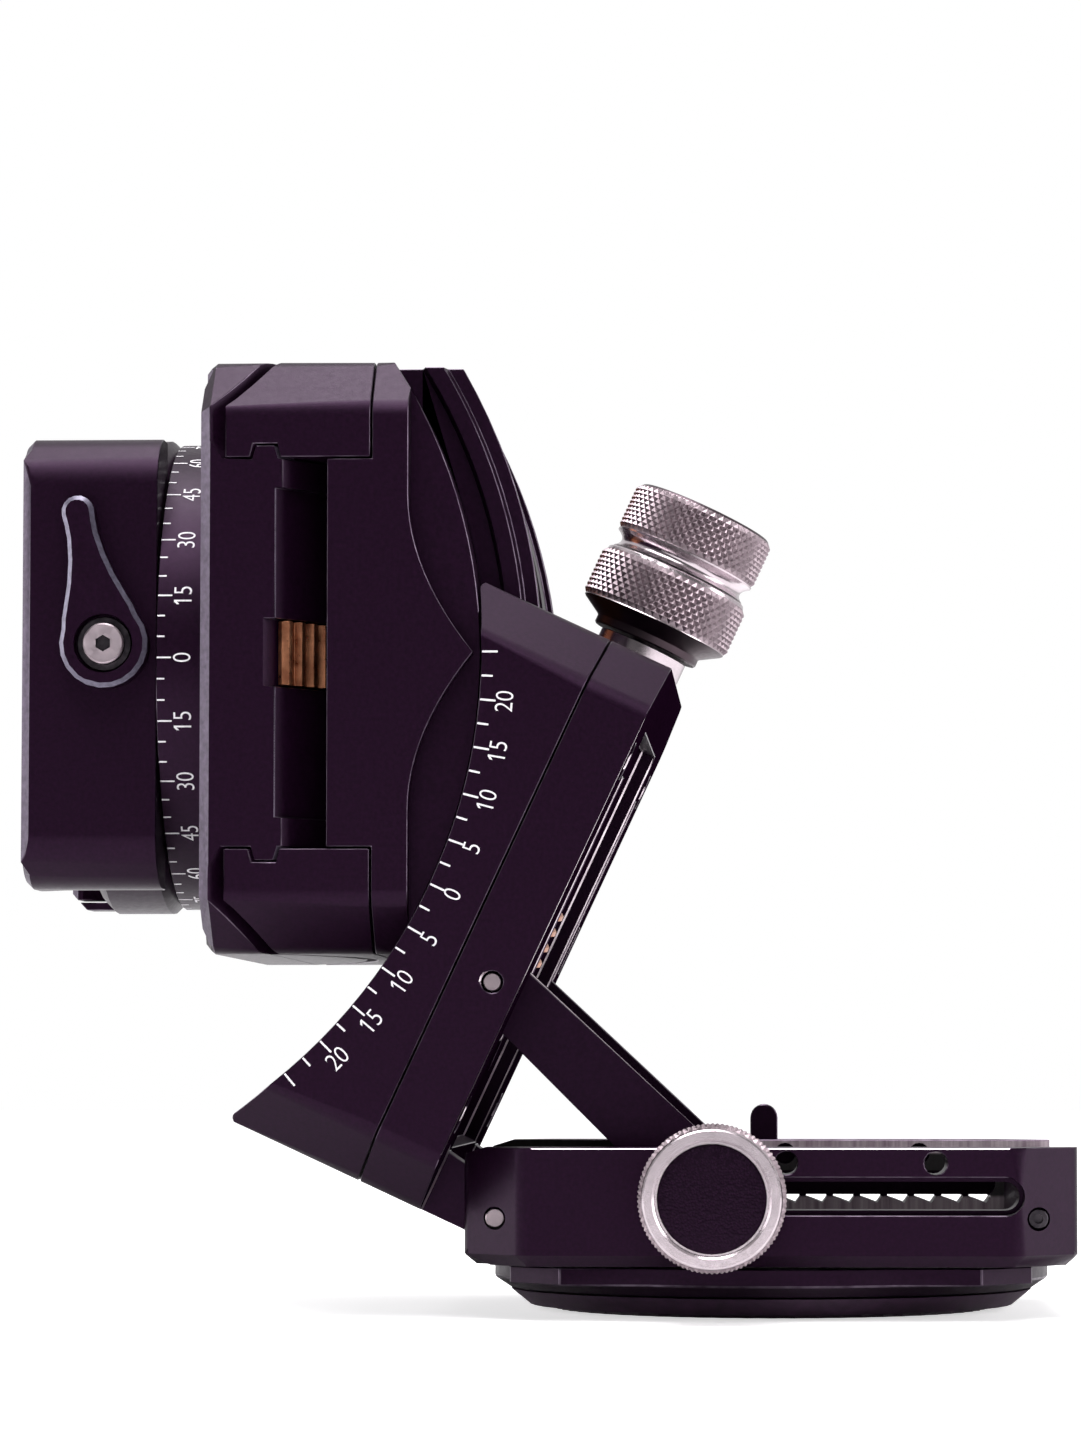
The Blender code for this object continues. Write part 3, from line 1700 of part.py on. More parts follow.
def make_clamp_body(parent):
    low = rotor_low()
    top = -rotor_top
    profile = [
        (0, top),
        (rotor_radius - rotor_bevel, top),
        (rotor_radius, top - rotor_bevel),
        (rotor_radius, low + rotor_bevel),
        (rotor_radius - rotor_bevel, low),
        (0, low),
    ]
    body = turned("clamp_body", parent, profile, (0, 0, 0), steps=60)
    outline = [
        (clamp_half_width, low),
        (clamp_half_width, -clamp_top - clamp_edge_bevel),
        (clamp_half_width - clamp_edge_bevel, -clamp_top),
        (dovetail_half_top, -clamp_top),
        (dovetail_half_top, -clamp_top - dovetail_lip),
        (dovetail_half_low, -clamp_top - dovetail_lip - dovetail_slope),
        (dovetail_half_low, top - fit_gap),
        (dovetail_half_top, top - fit_gap),
        (dovetail_half_top, low),
    ]
    jaw = slab(
        "fixed_jaw", parent, outline, -clamp_half_length, clamp_half_length, "YZ"
    )
    plan = slab(
        "fixed_jaw_plan", parent, clamp_plan(1), low - cut_overrun, -clamp_top + cut_overrun, "XY"
    )
    keep_inside(jaw, plan)
    join(body, jaw)
    near_cut = box(
        "moving_jaw_space",
        parent,
        (-half_side, -half_side, low - cut_overrun),
        (half_side, -jaw_seat_half + fit_gap, top + cut_overrun),
    )
    cut(body, near_cut)
    bore = rod(
        "spindle_bore",
        parent,
        spindle_radius + fit_gap,
        (0, 0, low - cut_overrun),
        -spindle_top + fit_gap - low + cut_overrun,
        "Z",
        round_steps,
    )
    cut(body, bore)
    pin_start = -jaw_seat_half - cut_overrun
    for i, x in enumerate((-guide_pin_x, guide_pin_x)):
        hole = rod(
            f"body_pin_hole_{i}",
            parent,
            guide_pin_radius + fit_gap,
            (x, pin_start, -guide_pin_depth),
            guide_pin_reach + cut_overrun + fit_gap,
            "Y",
        )
        cut(body, hole)
    cam_hole = rod(
        "body_cam_hole",
        parent,
        cam_shaft_radius + fit_gap,
        (lever_x, pin_start, -lever_depth),
        cam_shaft_reach + fit_gap - clamp_half_width - pin_start,
        "Y",
    )
    cut(body, cam_hole)
    return body


def make_moving_jaw(parent):
    low = rotor_low()
    outline = [
        (-jaw_seat_half, low),
        (-jaw_seat_half, -rotor_top),
        (-dovetail_half_low, -rotor_top + fit_gap),
        (-dovetail_half_low, -clamp_top - dovetail_lip - dovetail_slope),
        (-dovetail_half_top, -clamp_top - dovetail_lip),
        (-dovetail_half_top, -clamp_top),
        (-clamp_half_width + clamp_edge_bevel, -clamp_top),
        (-clamp_half_width, -clamp_top - clamp_edge_bevel),
        (-clamp_half_width, low),
    ]
    jaw = slab("moving_jaw", parent, outline, -clamp_half_length, clamp_half_length, "YZ")
    plan = slab(
        "moving_jaw_plan", parent, clamp_plan(-1), low - cut_overrun, -clamp_top + cut_overrun, "XY"
    )
    keep_inside(jaw, plan)
    start = -clamp_half_width - cut_overrun
    reach = clamp_half_width - jaw_seat_half
    for i, x in enumerate((-guide_pin_x, guide_pin_x)):
        hole = rod(
            f"jaw_pin_hole_{i}",
            parent,
            guide_pin_radius + fit_gap,
            (x, -jaw_seat_half - reach / 2, -guide_pin_depth),
            reach,
            "Y",
        )
        cut(jaw, hole)
    cam_hole = rod(
        "jaw_cam_hole",
        parent,
        cam_shaft_radius + fit_gap,
        (lever_x, start, -lever_depth),
        reach + 2 * cut_overrun,
        "Y",
    )
    cut(jaw, cam_hole)
    return jaw


def make_guide_pin(parent, name, x):
    reach = (clamp_half_width - jaw_seat_half) / 2 - fit_gap
    start = -jaw_seat_half - reach
    return rod(
        name,
        parent,
        guide_pin_radius,
        (x, start, -guide_pin_depth),
        guide_pin_reach - fit_gap + reach,
        "Y",
    )


def lever_outline():
    """The lever's outline round its hub: a round end, a waisted neck and a small tip."""
    rise = lever_tip_x - lever_x
    length = math.hypot(rise, lever_tip_lean)
    hub_turn = math.acos(lever_neck[0][0] / lever_hub_radius)
    points = []
    for i in range(15):
        angle = hub_turn + (2 * math.pi - 2 * hub_turn) * i / 14
        points.append((lever_hub_radius * math.cos(angle), lever_hub_radius * math.sin(angle)))
    points += [(along, -width) for along, width in lever_neck[1:]]
    for i in range(9):
        angle = -math.pi / 2 + math.pi * i / 8
        along = length + lever_tip_radius * math.cos(angle)
        points.append((along, lever_tip_radius * math.sin(angle)))
    points += [(along, width) for along, width in reversed(lever_neck[1:])]
    turned_round = []
    for along, across in points:
        x = (along * rise - across * lever_tip_lean) / length
        turned_round.append((x, (along * lever_tip_lean + across * rise) / length))
    return turned_round


def make_clamp_lever(parent):
    low = -lever_thickness - fit_gap
    lever = slab("clamp_lever", parent, lever_outline(), low, -fit_gap, "XZ")
    head = rod(
        "lever_head_hole",
        parent,
        lever_washer_radius + fit_gap,
        (0, low - cut_overrun, 0),
        lever_screw_height + fit_gap + cut_overrun,
        "Y",
        24,
    )
    cut(lever, head)
    shaft = rod(
        "lever_shaft_hole",
        parent,
        cam_shaft_radius + fit_gap,
        (0, low, 0),
        lever_thickness + 2 * fit_gap,
        "Y",
    )
    cut(lever, shaft)
    return lever


def make_lever_washer(parent):
    high = lever_thickness + fit_gap - lever_screw_height
    profile = ring_profile(
        lever_washer_radius, cam_shaft_radius + fit_gap, high, high + lever_washer_height
    )
    washer = turned("lever_washer", parent, profile, (0, 0, 0), closed=True, steps=24)
    washer.rotation_euler = (math.pi / 2, 0, 0)
    return washer


def make_lever_screw(parent):
    profile = [
        (0, -screw_socket_depth),
        (screw_socket_radius, -screw_socket_depth),
        (screw_socket_radius, 0),
        (lever_screw_radius, 0),
        (lever_screw_radius, -lever_head_height()),
        (0, -lever_head_height()),
    ]
    place = (0, -lever_thickness - fit_gap, 0)
    screw = turned("lever_screw", parent, profile, place, steps=32)
    screw.rotation_euler = (math.pi / 2, 0, 0)
    return screw


def lever_head_height():
    return lever_screw_height - lever_washer_height - fit_gap


def make_cam_shaft(parent):
    start = lever_head_height() - lever_thickness
    return rod(
        "cam_shaft",
        parent,
        cam_shaft_radius,
        (0, start, 0),
        cam_shaft_reach - start,
        "Y",
    )


def make_stop_plate(parent):
    top = -clamp_half_length - fit_gap
    low = top - stop_height
    outline = [
        (top, -stop_low_depth),
        (top, -stop_high_depth),
        (low, -stop_high_depth - stop_slant),
        (low, -stop_low_depth - stop_slant),
    ]
    return slab("stop_plate", parent, outline, stop_inner, stop_outer, "XZ")


def build():
    """Makes every piece under the empty that carries its body."""
    black = make_material("black_anodised", (0.018, 0.015, 0.02), 0.42, 0.35)
    steel = make_material("polished_steel", (0.62, 0.6, 0.58), 0.28, 1.0)
    knurl = make_material("knurled_steel", (0.5, 0.48, 0.46), 0.38, 1.0)
    bronze = make_material("bronze", (0.62, 0.4, 0.2), 0.35, 1.0)
    grain = make_material("black_leather_grain", (0.02, 0.018, 0.022), 0.6, 0.0)
    screws = make_material("black_steel", (0.05, 0.045, 0.05), 0.45, 0.8)

    base = add_empty("base_axes", None, (0, 0, 0))
    fold = add_empty("fold_axis", None, (fold_x, 0, fold_z), (0, -fold_open_angle, 0))
    frame = add_empty("frame_axes", fold, (-fold_pin_inset, 0, hinge_drop))
    slider = add_empty("lock_slide_axis", None, (-lock_rest_x, 0, slot_z))
    lock = add_empty("lock_axis", slider, (0, -half_side, 0), (math.pi / 2, 0, 0))
    link = add_empty(
        "link_axis",
        frame,
        (link_pin_along, 0, link_pin_height),
        (0, link_angle + fold_open_angle, 0),
    )
    tilt = add_empty(
        "front_tilt_axis", frame, (half_side, 0, arc_centre_height), (0, -front_tilt_angle, 0)
    )
    front_worm = add_empty(
        "front_worm_axis", frame, (half_side, 0, worm_height), (0, math.pi / 2, 0)
    )
    side = add_empty("side_tilt_axis", tilt, (0, 0, 0))
    side_worm = add_empty("side_worm_axis", tilt, (0, 0, -upper_worm_depth), (-math.pi / 2, 0, 0))
    pan = add_empty("pan_axis", side, (0, 0, 0))
    pan_lock = add_empty("pan_lock_axis", side, (0, 0, -pan_knob_depth), (-math.pi / 2, 0, 0))
    jaw = add_empty("jaw_axis", pan, (0, 0, 0))
    lever = add_empty("lever_axis", pan, (lever_x, -clamp_half_width, -lever_depth))

    knob_start = half_side + fit_gap
    ring_start = knob_start + collar_length
    drive_start = ring_start + fit_gap + ring_boss_length + ring_cone_length + ring_length
    shaft_end = drive_start + drive_bore_length
    bush_start = -(worm_length / 2 + 2 * fit_gap + worm_bush_length)

    made = [
        (make_tripod_pad(base), black),
        (make_base_disc(base), black),
        (make_tripod_bushing(base), steel),
        (make_base_frame(base), black),
        (make_locating_tab(base), black),
        (make_fold_pin(base), steel),
        (make_end_screw(base, "end_screw_near", -1), screws),
        (make_end_screw(base, "end_screw_far", 1), screws),
        (make_lock_shaft(slider), steel),
        (make_slide_bush(slider), steel),
        (make_lock_knob(lock), knurl),
        (make_lock_knob_inset(lock), grain),
        (make_link_arm(link, "link_arm_near", -1), black),
        (make_link_arm(link, "link_arm_far", 1), black),
        (make_link_spacer(link), black),
        (make_frame_block(frame), black),
        (make_lower_cradle(frame, "front_cradle", -1), black),
        (make_lower_cradle(frame, "rear_cradle", 1), black),
        (make_link_pin(frame, "link_pin_near", -1), steel),
        (make_link_pin(frame, "link_pin_far", 1), steel),
        (make_worm_bush(front_worm, "front_worm_bush", bush_start), bronze),
        (make_collar(front_worm, "front_worm_collar", knob_start), steel),
        (make_worm_shaft(front_worm, "front_worm_shaft", bush_start + fit_gap, shaft_end), steel),
        (
            worm(
                "front_worm",
                front_worm,
                lower_worm_radius,
                worm_shaft_radius + fit_gap,
                worm_length,
            ),
            bronze,
        ),
        (make_release_ring(front_worm, "front_release_ring", ring_start), knurl),
        (make_drive_knob(front_worm, "front_drive_knob", drive_start), knurl),
        (make_middle_block(tilt), black),
        (make_lower_rack(tilt), bronze),
        (make_upper_cradle(tilt, "upper_cradle_right", 1), black),
        (make_upper_cradle(tilt, "upper_cradle_left", -1), black),
        (make_collar(side_worm, "side_worm_collar", knob_start), steel),
        (
            make_worm_shaft(
                side_worm,
                "side_worm_shaft",
                -worm_length / 2 - worm_tail_length,
                shaft_end,
            ),
            steel,
        ),
        (
            worm(
                "side_worm",
                side_worm,
                upper_worm_radius,
                worm_shaft_radius + fit_gap,
                worm_length,
            ),
            bronze,
        ),
        (make_release_ring(side_worm, "side_release_ring", ring_start), knurl),
        (make_drive_knob(side_worm, "side_drive_knob", drive_start), knurl),
        (make_upper_plate(side), black),
        (make_upper_rack(side), bronze),
        (make_pan_ring(side), black),
        (make_pan_spindle(side), black),
        (make_pan_lock_screw(pan_lock), steel),
        (make_pan_lock_knob(pan_lock), knurl),
        (make_clamp_body(pan), black),
        (make_guide_pin(pan, "guide_pin_right", guide_pin_x), steel),
        (make_guide_pin(pan, "guide_pin_left", -guide_pin_x), steel),
        (make_moving_jaw(jaw), black),
        (make_stop_plate(pan), black),
        (make_clamp_lever(lever), black),
        (make_lever_washer(lever), screws),
        (make_lever_screw(lever), steel),
        (make_cam_shaft(lever), steel),
    ]
    for number, (x, y) in enumerate(screw_places(), start=1):
        made.append((make_base_screw(base, number, x, y), screws))
    for number, (x, y) in enumerate(cradle_screw_places(), start=1):
        made.append((make_cradle_screw(frame, number, x, y), screws))
    for obj, material in made:
        obj.data.materials.append(material)


build()
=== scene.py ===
import json
import math
import bmesh
import bpy
from mathutils import Matrix, Vector

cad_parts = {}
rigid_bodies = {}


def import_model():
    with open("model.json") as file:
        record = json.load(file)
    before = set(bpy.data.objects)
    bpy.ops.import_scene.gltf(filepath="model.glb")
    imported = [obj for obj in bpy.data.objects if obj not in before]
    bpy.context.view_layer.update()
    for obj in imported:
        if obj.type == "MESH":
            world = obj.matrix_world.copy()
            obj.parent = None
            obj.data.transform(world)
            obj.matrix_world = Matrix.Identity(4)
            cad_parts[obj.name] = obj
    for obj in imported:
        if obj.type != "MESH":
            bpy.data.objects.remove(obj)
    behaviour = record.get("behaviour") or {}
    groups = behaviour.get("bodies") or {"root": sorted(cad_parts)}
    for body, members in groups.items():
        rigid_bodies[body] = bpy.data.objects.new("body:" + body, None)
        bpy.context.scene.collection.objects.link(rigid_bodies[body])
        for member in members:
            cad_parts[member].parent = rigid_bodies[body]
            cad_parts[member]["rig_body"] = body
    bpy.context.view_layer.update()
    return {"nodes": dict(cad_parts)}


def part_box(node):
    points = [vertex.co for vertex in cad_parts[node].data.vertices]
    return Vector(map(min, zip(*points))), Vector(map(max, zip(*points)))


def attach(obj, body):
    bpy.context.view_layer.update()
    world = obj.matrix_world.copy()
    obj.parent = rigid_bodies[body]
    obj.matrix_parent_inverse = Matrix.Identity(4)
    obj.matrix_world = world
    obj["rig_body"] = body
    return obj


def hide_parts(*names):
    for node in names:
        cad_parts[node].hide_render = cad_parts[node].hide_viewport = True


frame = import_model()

nodes = frame["nodes"]
mm = 0.001

# Where the stages stand at rest, in the model's own sizes
foldAngle = math.radians(65)
foldPoint = Vector((-36.6, 0, 13.5)) * mm
frameStart = Vector((-46.828, 0, 14.518)) * mm
frameAlong = Vector((math.cos(foldAngle), 0, math.sin(foldAngle)))
frameUp = Vector((-math.sin(foldAngle), 0, math.cos(foldAngle)))
arcCentre = Vector((-111.219, 0, 88.679)) * mm
sideways = Vector((0, 1, 0))
left = Vector((-1, 0, 0))
upright = Vector((0, 0, 1))


def onFrame(along, across, up):
    return frameStart + frameAlong * along * mm + sideways * across * mm + frameUp * up * mm


def onStage(height, across, depth):
    return arcCentre + Vector((depth, across, height)) * mm


# Finishes
# Every finish reads Object coordinates, which are the model's own metres.
# A noise is given as its scale and detail.

noiseLow, noiseHigh = 0.3, 0.7  # most of a noise lies between these


def startFinish(name, look):
    finish = bpy.data.materials.new(name)
    finish.use_nodes = True
    tree = finish.node_tree
    shader = tree.nodes["Principled BSDF"]
    shader.inputs["Base Color"].default_value = (*look["colour"], 1)
    shader.inputs["Metallic"].default_value = look["metallic"]
    shader.inputs["Roughness"].default_value = look["roughness"]
    if "specular" in look:
        shader.inputs["Specular IOR Level"].default_value = look["specular"]
    if "tint" in look:
        shader.inputs["Specular Tint"].default_value = (*look["tint"], 1)
    place = tree.nodes.new("ShaderNodeTexCoord")
    return finish, tree, shader, place.outputs["Object"]


def addNoise(tree, place, scale, detail, stretch=None):
    if stretch:
        mapping = tree.nodes.new("ShaderNodeMapping")
        mapping.inputs["Scale"].default_value = stretch
        tree.links.new(place, mapping.inputs["Vector"])
        place = mapping.outputs["Vector"]
    noise = tree.nodes.new("ShaderNodeTexNoise")
    noise.inputs["Scale"].default_value = scale
    noise.inputs["Detail"].default_value = detail
    tree.links.new(place, noise.inputs["Vector"])
    return noise.outputs["Fac"]


def addRange(tree, value, fromMin, fromMax, toMin, toMax):
    span = tree.nodes.new("ShaderNodeMapRange")
    span.inputs["From Min"].default_value = fromMin
    span.inputs["From Max"].default_value = fromMax
    span.inputs["To Min"].default_value = toMin
    span.inputs["To Max"].default_value = toMax
    tree.links.new(value, span.inputs["Value"])
    return span


def spreadColour(tree, shader, fac, look, low=noiseLow, high=noiseHigh):
    ramp = tree.nodes.new("ShaderNodeValToRGB")
    ramp.color_ramp.elements[0].position = low
    ramp.color_ramp.elements[0].color = (*look["dark"], 1)
    ramp.color_ramp.elements[1].position = high
    ramp.color_ramp.elements[1].color = (*look["light"], 1)
    tree.links.new(fac, ramp.inputs["Fac"])
    tree.links.new(ramp.outputs["Color"], shader.inputs["Base Color"])


def spreadRoughness(tree, shader, fac, look):
    span = addRange(tree, fac, noiseLow, noiseHigh, look["smooth"], look["rough"])
    tree.links.new(span.outputs["Result"], shader.inputs["Roughness"])


def addBump(tree, shader, height, look):
    bump = tree.nodes.new("ShaderNodeBump")
    bump.inputs["Distance"].default_value = look["bumpDepth"]
    bump.inputs["Strength"].default_value = look["bumpStrength"]
    tree.links.new(height, bump.inputs["Height"])
    tree.links.new(bump.outputs["Normal"], shader.inputs["Normal"])


def makeFinish(name, look):
    # grain spreads the colour, haze the roughness, and pits give the bump
    finish, tree, shader, place = startFinish(name, look)
    spreadColour(tree, shader, addNoise(tree, place, *look["grain"]), look)
    if "haze" in look:
        spreadRoughness(tree, shader, addNoise(tree, place, *look["haze"]), look)
    if "pits" in look:
        addBump(tree, shader, addNoise(tree, place, *look["pits"]), look)
    return finish


# bead-blasted and anodised: near black with a purple cast and a very fine grain
purpleSheen = (0.84, 0.45, 0.88)
blackAnodised = makeFinish("blackAnodised", {
    "colour": (0.006, 0.001, 0.006), "metallic": 0.0, "roughness": 0.4,
    "grain": (1900, 6), "dark": (0.003, 0.0005, 0.003), "light": (0.008, 0.0015, 0.008),
    "haze": (1300, 4), "smooth": 0.36, "rough": 0.43,
    "pits": (5200, 2), "bumpDepth": 0.000012, "bumpStrength": 0.6,
    "specular": 0.2, "tint": purpleSheen,
})

# painted shade: a copy of the black without a sheen, for the sides that should look turned away
# from the lamps
paintedShadeBlack = makeFinish("paintedShadeBlack", {
    "colour": (0.005, 0.001, 0.005), "metallic": 0.0, "roughness": 0.8,
    "grain": (1900, 6), "dark": (0.003, 0.0005, 0.003), "light": (0.008, 0.002, 0.008),
    "specular": 0.0,
})

# the chamfers cut after blasting: smoother, so they catch the light as thin lines
cutEdge = makeFinish("cutEdge", {
    "colour": (0.08, 0.06, 0.085), "metallic": 1.0, "roughness": 0.34,
    "grain": (420, 5), "dark": (0.04, 0.026, 0.042), "light": (0.11, 0.085, 0.115),
    "haze": (900, 3), "smooth": 0.28, "rough": 0.4,
})

# painted highlight: a pale metal for the edges that should show a white line
paintedHighlightEdge = makeFinish("paintedHighlightEdge", {
    "colour": (0.7, 0.6, 0.66), "metallic": 1.0, "roughness": 0.3,
    "grain": (420, 5), "dark": (0.5, 0.42, 0.47), "light": (0.85, 0.75, 0.8),
})


def makeWideChamfer(name, colour):
    # the broad chamfers, in a soft lavender grey lighter than the black
    return makeFinish(name, {
        "colour": colour, "metallic": 0.6, "roughness": 0.42,
        "grain": (1500, 5),
        "dark": tuple(c * 0.7 for c in colour), "light": tuple(c * 1.25 for c in colour),
        "haze": (900, 3), "smooth": 0.36, "rough": 0.48,
    })


wideChamfer = makeWideChamfer("wideChamfer", (0.14, 0.125, 0.175))
# painted sheen and painted highlight: a dimmer copy for the stages' left sides and the window's
# edge
paintedSheenChamfer = makeWideChamfer("paintedSheenChamfer", (0.065, 0.048, 0.075))


def makeTurnedSteel(name, colour, roughness):
    # fine turning marks and a little haze
    return makeFinish(name, {
        "colour": colour, "metallic": 1.0, "roughness": roughness,
        "grain": (380, 5), "dark": tuple(c * 0.82 for c in colour), "light": colour,
        "haze": (1500, 4), "smooth": roughness - 0.05, "rough": roughness + 0.08,
        "pits": (6500, 2), "bumpDepth": 0.000006, "bumpStrength": 0.5,
    })


# painted shade: a dark copy of the turned steel for the knob faces outside the unshaded range
paintedShadeSteel = makeTurnedSteel("paintedShadeSteel", (0.07, 0.05, 0.06), 0.36)
knurledSteel = makeTurnedSteel("knurledSteel", (0.36, 0.29, 0.32), 0.42)
polishedSteel = makeTurnedSteel("polishedSteel", (0.62, 0.54, 0.58), 0.2)
satinSteel = makeTurnedSteel("satinSteel", (0.72, 0.6, 0.66), 0.34)
pinSteel = makeTurnedSteel("pinSteel", (0.4, 0.33, 0.36), 0.34)

# the screws and the lever's washer, and painted shade on the walls and floor of the hex socket
blackSteel = makeFinish("blackSteel", {
    "colour": (0.05, 0.045, 0.052), "metallic": 1.0, "roughness": 0.36,
    "grain": (700, 4), "dark": (0.03, 0.026, 0.032), "light": (0.08, 0.07, 0.08),
    "haze": (1800, 3), "smooth": 0.3, "rough": 0.44,
})

# the worms, the racks and the worm's bush
machinedBronze = makeFinish("machinedBronze", {
    "colour": (0.5, 0.2, 0.1), "metallic": 1.0, "roughness": 0.3,
    "grain": (500, 6), "dark": (0.3, 0.11, 0.06), "light": (0.64, 0.28, 0.15),
    "haze": (1100, 3), "smooth": 0.26, "rough": 0.42,
    "pits": (4200, 3), "bumpDepth": 0.00001, "bumpStrength": 0.5,
})

# the paint of the scales
scaleWhite = makeFinish("scaleWhite", {
    "colour": (0.85, 0.82, 0.86), "metallic": 0.0, "roughness": 0.55,
    "grain": (2600, 4), "dark": (0.72, 0.68, 0.74), "light": (0.92, 0.9, 0.92),
})

# the pad that rests on the tripod
padRubber = makeFinish("padRubber", {
    "colour": (0.04, 0.014, 0.04), "metallic": 0.0, "roughness": 0.5,
    "grain": (500, 6), "dark": (0.026, 0.009, 0.026), "light": (0.05, 0.018, 0.05),
    "pits": (2200, 4), "bumpDepth": 0.00004, "bumpStrength": 0.6,
})

milledAndShadeLook = {
    "colour": (0.5, 0.42, 0.46), "metallic": 0.5, "roughness": 0.45,
    "streaks": (1500, 3), "stretch": (1, 1, 0.04),
    "dark": (0.3, 0.22, 0.27), "light": (0.66, 0.56, 0.61),
    "bumpDepth": 0.00002, "bumpStrength": 0.6,
    "foot": 0.007, "top": 0.023,  # heights over which the bands are spread
    "shadeBands": ((0, 0.3), (0.46, 0.3), (0.49, 0.02), (0.86, 0.02), (0.89, 1), (1, 0.9)),
    "shadeEnd": -0.004, "paleStart": -0.002, "shade": 0.02,  # along the rail
}


def makeMilledWall(look):
    # the inner walls of the base: streaked by the cutter, pale above and below a band of painted
    # shade
    finish, tree, shader, place = startFinish("milledWallAndShade", look)
    streaks = addNoise(tree, place, *look["streaks"], look["stretch"])
    spreadColour(tree, shader, streaks, look)
    addBump(tree, shader, streaks, look)
    split = tree.nodes.new("ShaderNodeSeparateXYZ")
    tree.links.new(place, split.inputs[0])
    height = addRange(tree, split.outputs["Z"], look["foot"], look["top"], 0, 1)
    ramp = tree.nodes.new("ShaderNodeValToRGB")
    tree.links.new(height.outputs["Result"], ramp.inputs["Fac"])
    # painted shade: the dark band between the pale strips, set by height
    first, *inner, last = look["shadeBands"]
    for element, (spot, shade) in zip(ramp.color_ramp.elements, (first, last)):
        element.position = spot
        element.color = (shade, shade, shade, 1)
    for spot, shade in inner:
        ramp.color_ramp.elements.new(spot).color = (shade, shade, shade, 1)
    # only the half beyond the knob is pale
    half = addRange(
        tree, split.outputs["X"], look["shadeEnd"], look["paleStart"], look["shade"], 1
    )
    level = tree.nodes.new("ShaderNodeMath")
    level.operation = "MULTIPLY"
    tree.links.new(ramp.outputs["Color"], level.inputs[0])
    tree.links.new(half.outputs["Result"], level.inputs[1])
    mix = tree.nodes.new("ShaderNodeMix")
    mix.data_type = "RGBA"
    mix.blend_type = "MULTIPLY"
    mix.inputs[0].default_value = 1
    pale = shader.inputs["Base Color"].links[0].from_socket
    tree.links.new(pale, mix.inputs[6])
    tree.links.new(level.outputs[0], mix.inputs[7])
    tree.links.new(mix.outputs[2], shader.inputs["Base Color"])
    return finish


leatherLook = {
    "colour": (0.006, 0.002, 0.006), "metallic": 0.0, "roughness": 0.36,
    "cells": 3000, "dark": (0.01, 0.003, 0.01), "light": (0.003, 0.001, 0.003),
    "cellEdge": 0.1, "cellMiddle": 0.6,
    "haze": (700, 3), "smooth": 0.34, "rough": 0.48,
    "bumpDepth": 0.00009, "bumpStrength": 1.0,
    "specular": 0.16, "tint": purpleSheen,
}


def makeLeatherGrain(look):
    finish, tree, shader, place = startFinish("leatherGrain", look)
    cells = tree.nodes.new("ShaderNodeTexVoronoi")
    cells.inputs["Scale"].default_value = look["cells"]
    tree.links.new(place, cells.inputs["Vector"])
    grain = cells.outputs["Distance"]
    addBump(tree, shader, grain, look)
    spreadColour(tree, shader, grain, look, look["cellEdge"], look["cellMiddle"])
    spreadRoughness(tree, shader, addNoise(tree, place, *look["haze"]), look)
    return finish


milledWallAndShade = makeMilledWall(milledAndShadeLook)
leatherGrain = makeLeatherGrain(leatherLook)
print("finishes made")


# Tools for shaping pieces

softAngle = 28  # degrees: edges between faces that turn less are shaded smooth
stepAngle = 50  # degrees: only these sharper edges of the stages are chamfered
flatAngle = 0.5  # degrees: faces that turn less from each other become one
onPlane = 0.02 * mm  # a point this near to a plane counts as on it
sameRadius = 0.000001  # millimetres
weld = {"solid": 0.00001, "rings": 0.000001}  # metres: points nearer than this become one


def pick(piece):
    bpy.ops.object.select_all(action="DESELECT")
    piece.select_set(True)
    bpy.context.view_layer.objects.active = piece


def fixPlace(piece):
    pick(piece)
    bpy.ops.object.transform_apply(location=True, rotation=True, scale=True)


def smoothByAngle(piece, angle=softAngle):
    pick(piece)
    bpy.ops.object.shade_smooth_by_angle(angle=math.radians(angle))


def weighNormals(piece):
    pick(piece)
    weigh = piece.modifiers.new("weighNormals", "WEIGHTED_NORMAL")
    weigh.keep_sharp = True
    bpy.ops.object.modifier_apply(modifier=weigh.name)


def giveFinishes(piece, *finishes):
    piece.data.materials.clear()
    for finish in finishes:
        piece.data.materials.append(finish)


def rideLike(piece, node):
    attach(piece, nodes[node]["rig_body"])
    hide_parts(node)


def finishPiece(piece, node):
    smoothByAngle(piece)
    weighNormals(piece)
    rideLike(piece, node)


def copyNode(node):
    # a welded copy of the model's own solid, ready for finer edges
    piece = bpy.data.objects.new(node + "Skin", nodes[node].data.copy())
    bpy.context.collection.objects.link(piece)
    piece.data.materials.clear()
    pick(piece)
    bpy.ops.mesh.customdata_custom_splitnormals_clear()
    bpy.ops.object.mode_set(mode="EDIT")
    bpy.ops.mesh.select_all(action="SELECT")
    bpy.ops.mesh.remove_doubles(threshold=weld["solid"])
    bpy.ops.mesh.mark_sharp(clear=True)
    bpy.ops.mesh.dissolve_limited(angle_limit=math.radians(flatAngle))
    bpy.ops.object.mode_set(mode="OBJECT")
    return piece


def edgeRun(edge):
    return edge.verts[1].co - edge.verts[0].co


def edgeMiddle(edge):
    return (edge.verts[0].co + edge.verts[1].co) / 2


def selectEdges(piece, wanted):
    # selects the edges that a test on (edge, angle between its faces) picks
    bm = bmesh.from_edit_mesh(piece.data)
    for item in [*bm.verts, *bm.faces]:
        item.select_set(False)
    count = 0
    for edge in bm.edges:
        good = len(edge.link_faces) == 2 and wanted(edge, edge.calc_face_angle(0))
        edge.select_set(bool(good))
        count += bool(good)
    bmesh.update_edit_mesh(piece.data)
    return count


def bevelEdges(piece, wanted, **how):
    pick(piece)
    bpy.ops.object.mode_set(mode="EDIT")
    bpy.ops.mesh.select_mode(type="EDGE")
    if selectEdges(piece, wanted):
        bpy.ops.mesh.bevel(affect="EDGES", clamp_overlap=False, **how)
    bpy.ops.object.mode_set(mode="OBJECT")


# angles in degrees, the shortest edge in millimetres
cornerTest = {"turn": 45, "slack": 7, "shortest": 0.6, "along": 0.999, "segments": 5}


